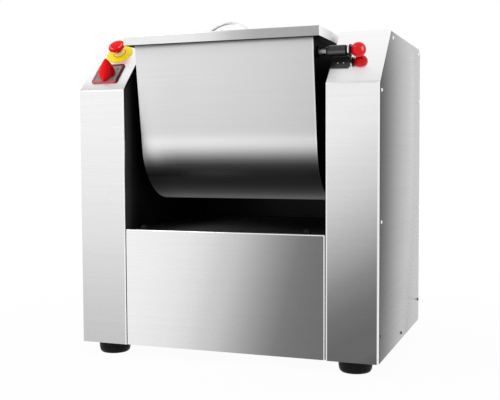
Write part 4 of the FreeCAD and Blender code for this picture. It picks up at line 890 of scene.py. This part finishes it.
def latchHousing(look, axis, length):
    tube = look["tube"]
    bore = look["bore"]
    socket = look["socket"]
    floor = length - look["socketDepth"]
    profile = [(bore, 0), (tube - look["chamfer"], 0), (tube, look["chamfer"]), (tube, length - look["lip"]),
               (tube - look["lip"] / 2, length), (socket, length), (socket, floor), (bore, floor), (bore, 0)]
    bm = stand(lathe(profile, 56), axis, alongX)
    # the tube's saddle stands on a foot plate, which two screws hold to the slope
    footTop = look["footThick"] - look["over"]
    foot = bmesh.new()
    start, end = look["foot"]
    block(foot, (start, look["footLow"], -look["over"]), (end, look["saddleHalf"], footTop))
    for piece in (saddleBlock(look), foot):
        roundEdges(piece, sharpEdges(piece, 60), look["soften"], 3)
        joinInto(bm, stand(piece, axis, slopeTurn))
    for x in look["footScrews"]:
        screw = stand(lathe(inMm(look["screwHead"]), 16), (x, look["screwsAt"], footTop))
        for face in screw.faces:
            face.material_index = 1
        joinInto(bm, stand(screw, axis, slopeTurn))
    finishPiece("latchHousing", bm, "frame", [tubeBlackHighlight, polished], ["latch_housing"])


ballLook = {"radius": 16 * mm, "flatAt": 15 * mm}   # its foot is cut flat where the pin enters


def latchBall(look, place):
    knob = bmesh.new()
    bmesh.ops.create_uvsphere(knob, u_segments=64, v_segments=40, radius=look["radius"])
    for vert in knob.verts:
        vert.co.z = max(vert.co.z, -look["flatAt"])
    stand(knob, place, alongX)
    finishPiece("latchBall", knob, "latch", [redGloss], ["latch_ball"], 50)


housingLow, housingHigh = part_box("latch_housing")
pinLow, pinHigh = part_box("latch_pin")
pinY, pinZ = (pinLow.y + pinHigh.y) / 2, (pinLow.z + pinHigh.z) / 2
latchHousing(latchLook, (housingLow.x, pinY, pinZ), housingHigh.x - housingLow.x)
latchBall(ballLook, (pinHigh.x, pinY, pinZ))
print("latch ready")


# Rotary switch on the left slope; each mark's place is across, up and off the slope
switchLook = {
    "half": 33 * mm,
    "tall": 31.6 * mm,
    "shift": (-2.4 * mm, 3.2 * mm, 0),
    "frame": 4.6 * mm,
    "sheet": 4.2 * mm,
    "corner": 5 * mm,
    "wall": 0.8 * mm,       # between the frame and the sunk face
    "sunk": 1.4 * mm,
    "soften": 0.6 * mm,
    "marks": {"0": (17 * mm, 18 * mm, 3.2 * mm), "1": (17 * mm, -18 * mm, 3.2 * mm)},
    "markSize": 8 * mm,
    "markDepth": 0.15 * mm,
}


def switchPlate(look):
    half = look["half"]
    tall = look["tall"]
    sheet = look["sheet"]
    bm = bmesh.new()
    block(bm, (-half, -tall, 0), (half, tall, sheet))
    uprights = [edge for edge in bm.edges if abs(edge.verts[0].co.z - edge.verts[1].co.z) > sheet / 2]
    roundEdges(bm, uprights, look["corner"], 5)
    top = [face for face in bm.faces if face.normal.z > 0.9]
    bmesh.ops.inset_region(bm, faces=top, thickness=look["frame"], depth=0, use_even_offset=True)
    bmesh.ops.inset_region(bm, faces=top, thickness=look["wall"], depth=-look["sunk"], use_even_offset=True)
    # painted light and shade: the frame is redder and darker on its right and upper sides as painted shade,
    # and paler on its left as painted light
    side = look["frame"] * 0.6
    for face in bm.faces:
        middle = face.calc_center_median()
        if face in top:
            face.material_index = 1
        elif middle.x > half - side or middle.y > tall - side:
            face.material_index = 2
        elif middle.x < side - half:
            face.material_index = 3
    rim = [edge for edge in sharpEdges(bm, 50) if all(abs(vert.co.z - sheet) < 1e-6 for vert in edge.verts)]
    roundEdges(bm, rim, look["soften"], 2)
    bmesh.ops.translate(bm, verts=bm.verts, vec=look["shift"])
    finishPiece("switchPlate", stand(bm, switchAt, slopeTurn), "frame",
                [redFrame, greyFace, redFrameShade, redFrameLit], ["switch_plate"])


def switchMark(look, text, place):
    curve = bpy.data.curves.new("mark" + text, "FONT")
    curve.body = text
    curve.size = look["markSize"]
    curve.align_x = "CENTER"
    curve.align_y = "CENTER"
    curve.extrude = look["markDepth"]
    shape = bpy.data.objects.new("markShape" + text, curve)
    scene.collection.objects.link(shape)
    bpy.context.view_layer.update()
    mesh = bpy.data.meshes.new_from_object(shape)
    bpy.data.objects.remove(shape)
    mesh.transform(Matrix.Translation(switchAt) @ slopeTurn @ Matrix.Translation(place))
    mesh.materials.clear()
    mesh.materials.append(inkDark)
    piece = bpy.data.objects.new("switchMark" + text, mesh)
    scene.collection.objects.link(piece)
    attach(piece, "frame")


gripLook = {
    "skirt": 14 * mm,
    "skirtLow": 3.5 * mm,
    "skirtTop": 7 * mm,
    "soften": 0.8 * mm,
    "low": 5 * mm,          # foot of the grip, off the slope
    "wide": 19.5 * mm,
    "shift": -3 * mm,
    "ridgeAt": 3.4 * mm,
    "crestAt": 15 * mm,     # its crest, up the slope from its axis
    "crestTop": 38 * mm,
    "tipAt": 27.5 * mm,     # its point, down the slope
    "tipTop": 10 * mm,
    # rings of the flank: share of the way in to the ridge, and share of the way up
    "flank": ((0, 0), (0.01, 0.26), (0.12, 0.52), (0.36, 0.76), (0.68, 0.92), (0.90, 0.985), (1, 1)),
    "steps": 40,
}


def leafGrip(look):
    # flanks rise from a round outline, drawn out to a point, up to a ridge that climbs from point to crest
    bm = bmesh.new()
    low = look["low"]
    wide = look["wide"]
    tangent = math.acos(wide / look["tipAt"])
    ring = bmesh.ops.create_circle(bm, cap_ends=True, radius=1, segments=look["steps"])["verts"]
    outline = {}
    for vert in ring:
        angle = math.atan2(vert.co.x, -vert.co.y)
        reach = wide / math.cos(max(0.0, tangent - abs(angle)))
        outline[vert] = Vector((reach * math.sin(angle), -reach * math.cos(angle), 0))
    edges = bm.edges[:]
    for share, rise in look["flank"]:
        if share or rise:
            grown = bmesh.ops.extrude_edge_only(bm, edges=edges)["geom"]
            edges = [item for item in grown if isinstance(item, bmesh.types.BMEdge)
                     and all(vert not in outline for vert in item.verts)]
            fresh = {}
            for vert in {vert for edge in edges for vert in edge.verts}:
                fresh[vert] = min(outline.items(), key=lambda pair: (pair[0].co - vert.co).length)[1]
            outline = fresh
        for vert, foot in outline.items():
            crest = min(foot.y, look["crestAt"])
            climb = (crest + look["tipAt"]) / (look["crestAt"] + look["tipAt"])
            top = look["tipTop"] + (look["crestTop"] - look["tipTop"]) * climb
            vert.co = (foot.x * (1 - share) + look["ridgeAt"] * share, foot.y + (crest - foot.y) * share,
                       low + (top - low) * rise)
    bmesh.ops.dissolve_degenerate(bm, dist=1e-6, edges=bm.edges)
    closeUp(bm)
    return bm


def switchKnob(look):
    skirt = look["skirt"]
    low = look["skirtLow"]
    top = look["skirtTop"]
    knob = lathe([(0, low), (skirt, low), (skirt, top), (0, top)], 48, look["soften"])
    grip = leafGrip(look)
    bmesh.ops.translate(grip, verts=grip.verts, vec=(look["shift"], 0, 0))
    joinInto(knob, grip)
    finishPiece("switchKnob", stand(knob, switchAt, slopeTurn), "switch",
                [redKnob], ["switch_knob"], 40)


switchPlate(switchLook)
switchKnob(gripLook)
for markText, markPlace in switchLook["marks"].items():
    switchMark(switchLook, markText, markPlace)
print("switch ready")


# Stop button beside it; profiles are radius and height in millimetres
ringLook = {
    "radius": 32 * mm,
    "sheet": 2.5 * mm,
    "bore": 11 * mm,
    "line": 14.2 * mm,      # dark joint round the collar
    "lineWide": 1 * mm,
    "lineDeep": 0.6 * mm,
    "slant": 0.1 * mm,      # of the joint's walls
    "soften": 0.8 * mm,
}


def stopRing(look):
    radius = look["radius"]
    sheet = look["sheet"]
    bore = look["bore"]
    slant = look["slant"]
    line = look["line"]
    lineEnd = line + look["lineWide"]
    floor = sheet - look["lineDeep"]
    bm = lathe([(bore, 0), (radius, 0), (radius, sheet), (lineEnd + 2 * slant, sheet), (lineEnd, floor),
                (line, floor), (line - slant, sheet), (bore, sheet), (bore, 0)], 96)
    for face in bm.faces:
        middle = face.calc_center_median()
        if line - 2 * slant < middle.xy.length < lineEnd + 3 * slant and middle.z > floor - 2 * slant:
            face.material_index = 1
    outer = [edge for edge in sharpEdges(bm) if edge.verts[0].co.xy.length > radius - slant]
    roundEdges(bm, outer, look["soften"], 3)
    finishPiece("stopRing", stand(bm, stopAt, slopeTurn), "frame",
                [yellow, inkDark], ["estop_ring"])


bodyLook = {
    "collar": ((7, 0), (13.4, 0), (13.4, 3.5), (11.9, 7), (7, 7)),   # over the ring
    "soften": 0.6 * mm,
    "below": ((0, -46), (17.6, -46), (17.6, -1.5), (11, -1.5), (11, 0.5), (0, 0.5)),
}


def stopBody(look, lift):
    collar = lathe(inMm(look["collar"], lift), 64, look["soften"])
    below = lathe(inMm(look["below"]), 40)
    for face in below.faces:
        face.material_index = 1
    joinInto(collar, below)
    finishPiece("stopBody", stand(collar, stopAt, slopeTurn), "frame",
                [paleCollar, blackPlastic], ["estop_body"])


headLook = {
    "low": 15.2 * mm,       # its underside, off the slope
    "profile": ((6.2, 0), (12.5, 0), (13.5, 2.5), (18.6, 4), (20, 5.5), (20, 8), (19.2, 10), (17, 11.3),
                (10, 12.2), (5, 12.6), (0, 12.7)),
    "notches": 12,
    "notchDepth": 0.012,    # share of the radius
    "notchFrom": 18 * mm,   # the notches are only outside this radius
}
arrowLook = {
    "inner": 13.6 * mm,
    "outer": 15.8 * mm,
    "rise": 12 * mm,        # over the head's underside
    "fall": 0.5 * mm,       # from the inner edge to the outer one
    "barb": 1.4 * mm,
    "point": 4 * mm,
    "tipRise": (0.2 * mm, -0.1 * mm, -0.7 * mm),
    "count": 3,
    "first": 85,            # degrees
    "sweep": 58,
}


def turningArrow(look, rise, turn):
    # a pale curved strip with a pointed tip, facing up
    inner = look["inner"]
    outer = look["outer"]
    bm = bmesh.new()
    strip = [bm.verts.new((inner, 0, rise)), bm.verts.new((outer, 0, rise - look["fall"]))]
    edge = bm.edges.new(strip)
    bmesh.ops.spin(bm, geom=strip + [edge], cent=(0, 0, 0), axis=(0, 0, 1), dvec=(0, 0, 0),
                   angle=math.radians(look["sweep"]), steps=12, use_duplicate=False)
    across = (inner - look["barb"], (inner + outer) / 2, outer + look["barb"])
    along = (0, -look["point"], 0)
    tip = [(x, y, rise + up) for x, y, up in zip(across, along, look["tipRise"])]
    bmesh.ops.contextual_create(bm, geom=[bm.verts.new(point) for point in tip])
    bmesh.ops.rotate(bm, verts=bm.verts, cent=(0, 0, 0), matrix=Matrix.Rotation(math.radians(turn), 3, "Z"))
    for face in bm.faces:
        face.normal_update()
        if face.normal.z < 0:
            face.normal_flip()
        face.material_index = 1
    return bm


def stopHead(look, arrows):
    head = lathe(inMm(look["profile"], look["low"]), 72)
    for vert in head.verts:
        if vert.co.xy.length > look["notchFrom"]:
            wave = math.cos(math.atan2(vert.co.y, vert.co.x) * look["notches"])
            vert.co.xy = vert.co.xy * (1 + look["notchDepth"] * wave)
    for number in range(arrows["count"]):
        turn = arrows["first"] + 360 / arrows["count"] * number
        joinInto(head, turningArrow(arrows, look["low"] + arrows["rise"], turn))
    finishPiece("stopHead", stand(head, stopAt, slopeTurn), "stop_head",
                [redSatin, inkPale], ["estop_head"], 50)


stopRing(ringLook)
stopBody(bodyLook, ringLook["sheet"])
stopHead(headLook, arrowLook)
print("stop button ready")


# Feet and the drum's rubber stops; profiles are share of the radius and height in millimetres
footLook = {
    "radius": 36.5 * mm,
    "insetX": 60 * mm,
    "insetY": 45 * mm,
    "profile": ((0.76, 0), (0.84, 0.8), (0.91, 3), (0.96, 7), (0.99, 13), (1, 20), (1, 26), (0.98, 28)),
}
bumperLook = {
    "profile": ((1, 0), (1, 6.5), (0.82, 9.4), (0.5, 10)),
    "soften": 0.5 * mm,
}


def rubberButton(profile, radius, steps, rounding=0.0):
    # a closed turned button from its flat underside to its flat top
    points = [(radius * share, up * mm) for share, up in profile]
    return lathe([(0, 0)] + points + [(0, points[-1][1])], steps, rounding)


def rubberFeet(look):
    bm = bmesh.new()
    for sign in (-1, 1):
        for y in (frontY + look["insetY"], backY - look["insetY"]):
            foot = rubberButton(look["profile"], look["radius"], 64)
            joinInto(bm, stand(foot, (sign * (outerX - look["insetX"]), y, 0)))
    finishPiece("rubberFeet", bm, "frame", [rubber], ["rubber_feet"], 50)


def drumStops(look):
    low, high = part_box("drum_stops")
    bm = bmesh.new()
    radius = (high.y - low.y) / 2
    for x in (low.x + radius, high.x - radius):
        bumper = rubberButton(look["profile"], radius, 40, look["soften"])
        joinInto(bm, stand(bumper, (x, low.y + radius, low.z)))
    finishPiece("drumStops", bm, "frame", [rubber], ["drum_stops"], 50)


rubberFeet(footLook)
drumStops(bumperLook)
print("feet ready")


# Finishes for the CAD nodes that stay
nodeFinish = {
    "black": (blackPaint, ["base_rail_front", "base_rail_rear", "left_base_tray", "right_base_tray"]),
    "left": (leftBlackShaded, ["left_side_plate"]),
    "deck": (deckBlackSheen, ["deck_tray"]),
    "screws": (steel["screws"], ["side_cover_screws"]),
    "rear": (rearSheet, ["rear_panel"]),
    "plate": (rightPlate, ["right_side_plate"]),
    "pin": (pinSteel, ["latch_pin"]),
    "polish": (polished, ["lid_hinge_brackets", "lid_hinge_straps", "lid_hinge_pins",
                          "agitator_shaft", "mixing_paddles"]),
    "machined": (machined, ["latch_bush", "plate_bolts", "shaft_bearings", "countershaft_bearings",
                            "spacer_posts", "gearbox_plate", "main_gear", "slow_pinion_shaft",
                            "slow_gear", "fast_pinion_shaft", "motor_shaft"]),
    "ends": (endBlack, ["drum_end_left", "drum_end_right"]),
    "cast": (blackCast, ["left_bearing_housing", "right_bearing_housing", "large_pulley", "motor_pulley"]),
    "bronze": (bronze, ["drum_bushes"]),
    "rubber": (rubber, ["shaft_seals", "drive_belt"]),
    "motor": (motorPaint, ["motor_body", "motor_fan_cover", "motor_terminal_box"]),
    "plastic": (blackPlastic, ["latch_collar", "switch_body", "estop_plunger", "cable_gland"]),
}
for material, names in nodeFinish.values():
    for name in names:
        mesh = frame["nodes"][name].data
        mesh.materials.clear()
        mesh.materials.append(material)
print("node finishes ready")


# Floor, background and light
stageLook = {
    "floorHalf": 12,
    "floorColour": (0.92, 0.92, 0.92, 1),
    "floorRoughness": 0.9,
    "fade": (0.45, 1.3),    # metres from the middle where the floor turns pure white
    "near": 0.965,          # how white it is beside the feet
    "world": 1.0,           # the background as seen, and in gloss
    "ambient": 0.66,        # the light that it gives
}
lampLook = {
    "aim": (0, 0, 0.4),
    "key": {"place": (-2.0, -2.0, 3.0), "size": 0.9, "power": 20.0},
    "fill": {"place": (2.2, -2.4, 2.2), "size": 0.8, "power": 6.0},
}


def makeFloor(look):
    bm = bmesh.new()
    bmesh.ops.create_grid(bm, x_segments=1, y_segments=1, size=look["floorHalf"])
    mesh = bpy.data.meshes.new("floor")
    bm.to_mesh(mesh)
    bm.free()
    floor = bpy.data.objects.new("floor", mesh)
    scene.collection.objects.link(floor)
    # white as seen and in gloss, and a plain pale floor that takes shadows for all other light
    paint = Finish("floorPaint", Base_Color=look["floorColour"], Roughness=look["floorRoughness"])
    rays = paint.node("ShaderNodeLightPath").socket.node
    seen = Wire(paint.tree, rays.outputs["Is Camera Ray"])
    for ray in ("Is Glossy Ray", "Is Transmission Ray"):
        seen = seen.sum("MAXIMUM", seen, Wire(paint.tree, rays.outputs[ray]))
    near, far = look["fade"]
    clear = paint.ramp((paint.length(paint.place()) - near) / (far - near), [(0.0, look["near"]), (1.0, 1.0)])
    glow = paint.node("ShaderNodeEmission", sockets={"Color": (1, 1, 1, 1), "Strength": 1.0})
    surface = Wire(paint.tree, paint.shader.outputs[0])
    mixed = paint.node("ShaderNodeMixShader", sockets={0: seen * clear, 1: surface, 2: glow})
    paint.tree.links.new(mixed.socket, paint.tree.nodes["Material Output"].inputs["Surface"])
    floor.data.materials.append(paint.material)


def makeWorld(look):
    world = bpy.data.worlds.new("studio")
    scene.world = world
    world.use_nodes = True
    tree = world.node_tree
    back = tree.nodes["Background"]
    back.inputs["Color"].default_value = (1, 1, 1, 1)
    path = tree.nodes.new("ShaderNodeLightPath")
    seen = Wire(tree, path.outputs["Is Camera Ray"])
    seen = seen.sum("MAXIMUM", seen, Wire(tree, path.outputs["Is Glossy Ray"]))
    level = tree.nodes.new("ShaderNodeMapRange")
    tree.links.new(seen.socket, level.inputs["Value"])
    level.inputs["To Min"].default_value = look["ambient"]
    level.inputs["To Max"].default_value = look["world"]
    tree.links.new(level.outputs[0], back.inputs["Strength"])


def areaLamp(name, look, aim):
    data = bpy.data.lights.new(name, "AREA")
    data.energy = look["power"]
    data.size = look["size"]
    lamp = bpy.data.objects.new(name, data)
    scene.collection.objects.link(lamp)
    lamp.location = look["place"]
    lamp.rotation_euler = (Vector(aim) - Vector(look["place"])).to_track_quat("-Z", "Y").to_euler()


makeFloor(stageLook)
makeWorld(stageLook)
areaLamp("keyLamp", lampLook["key"], lampLook["aim"])
areaLamp("fillLamp", lampLook["fill"], lampLook["aim"])
print("stage ready")
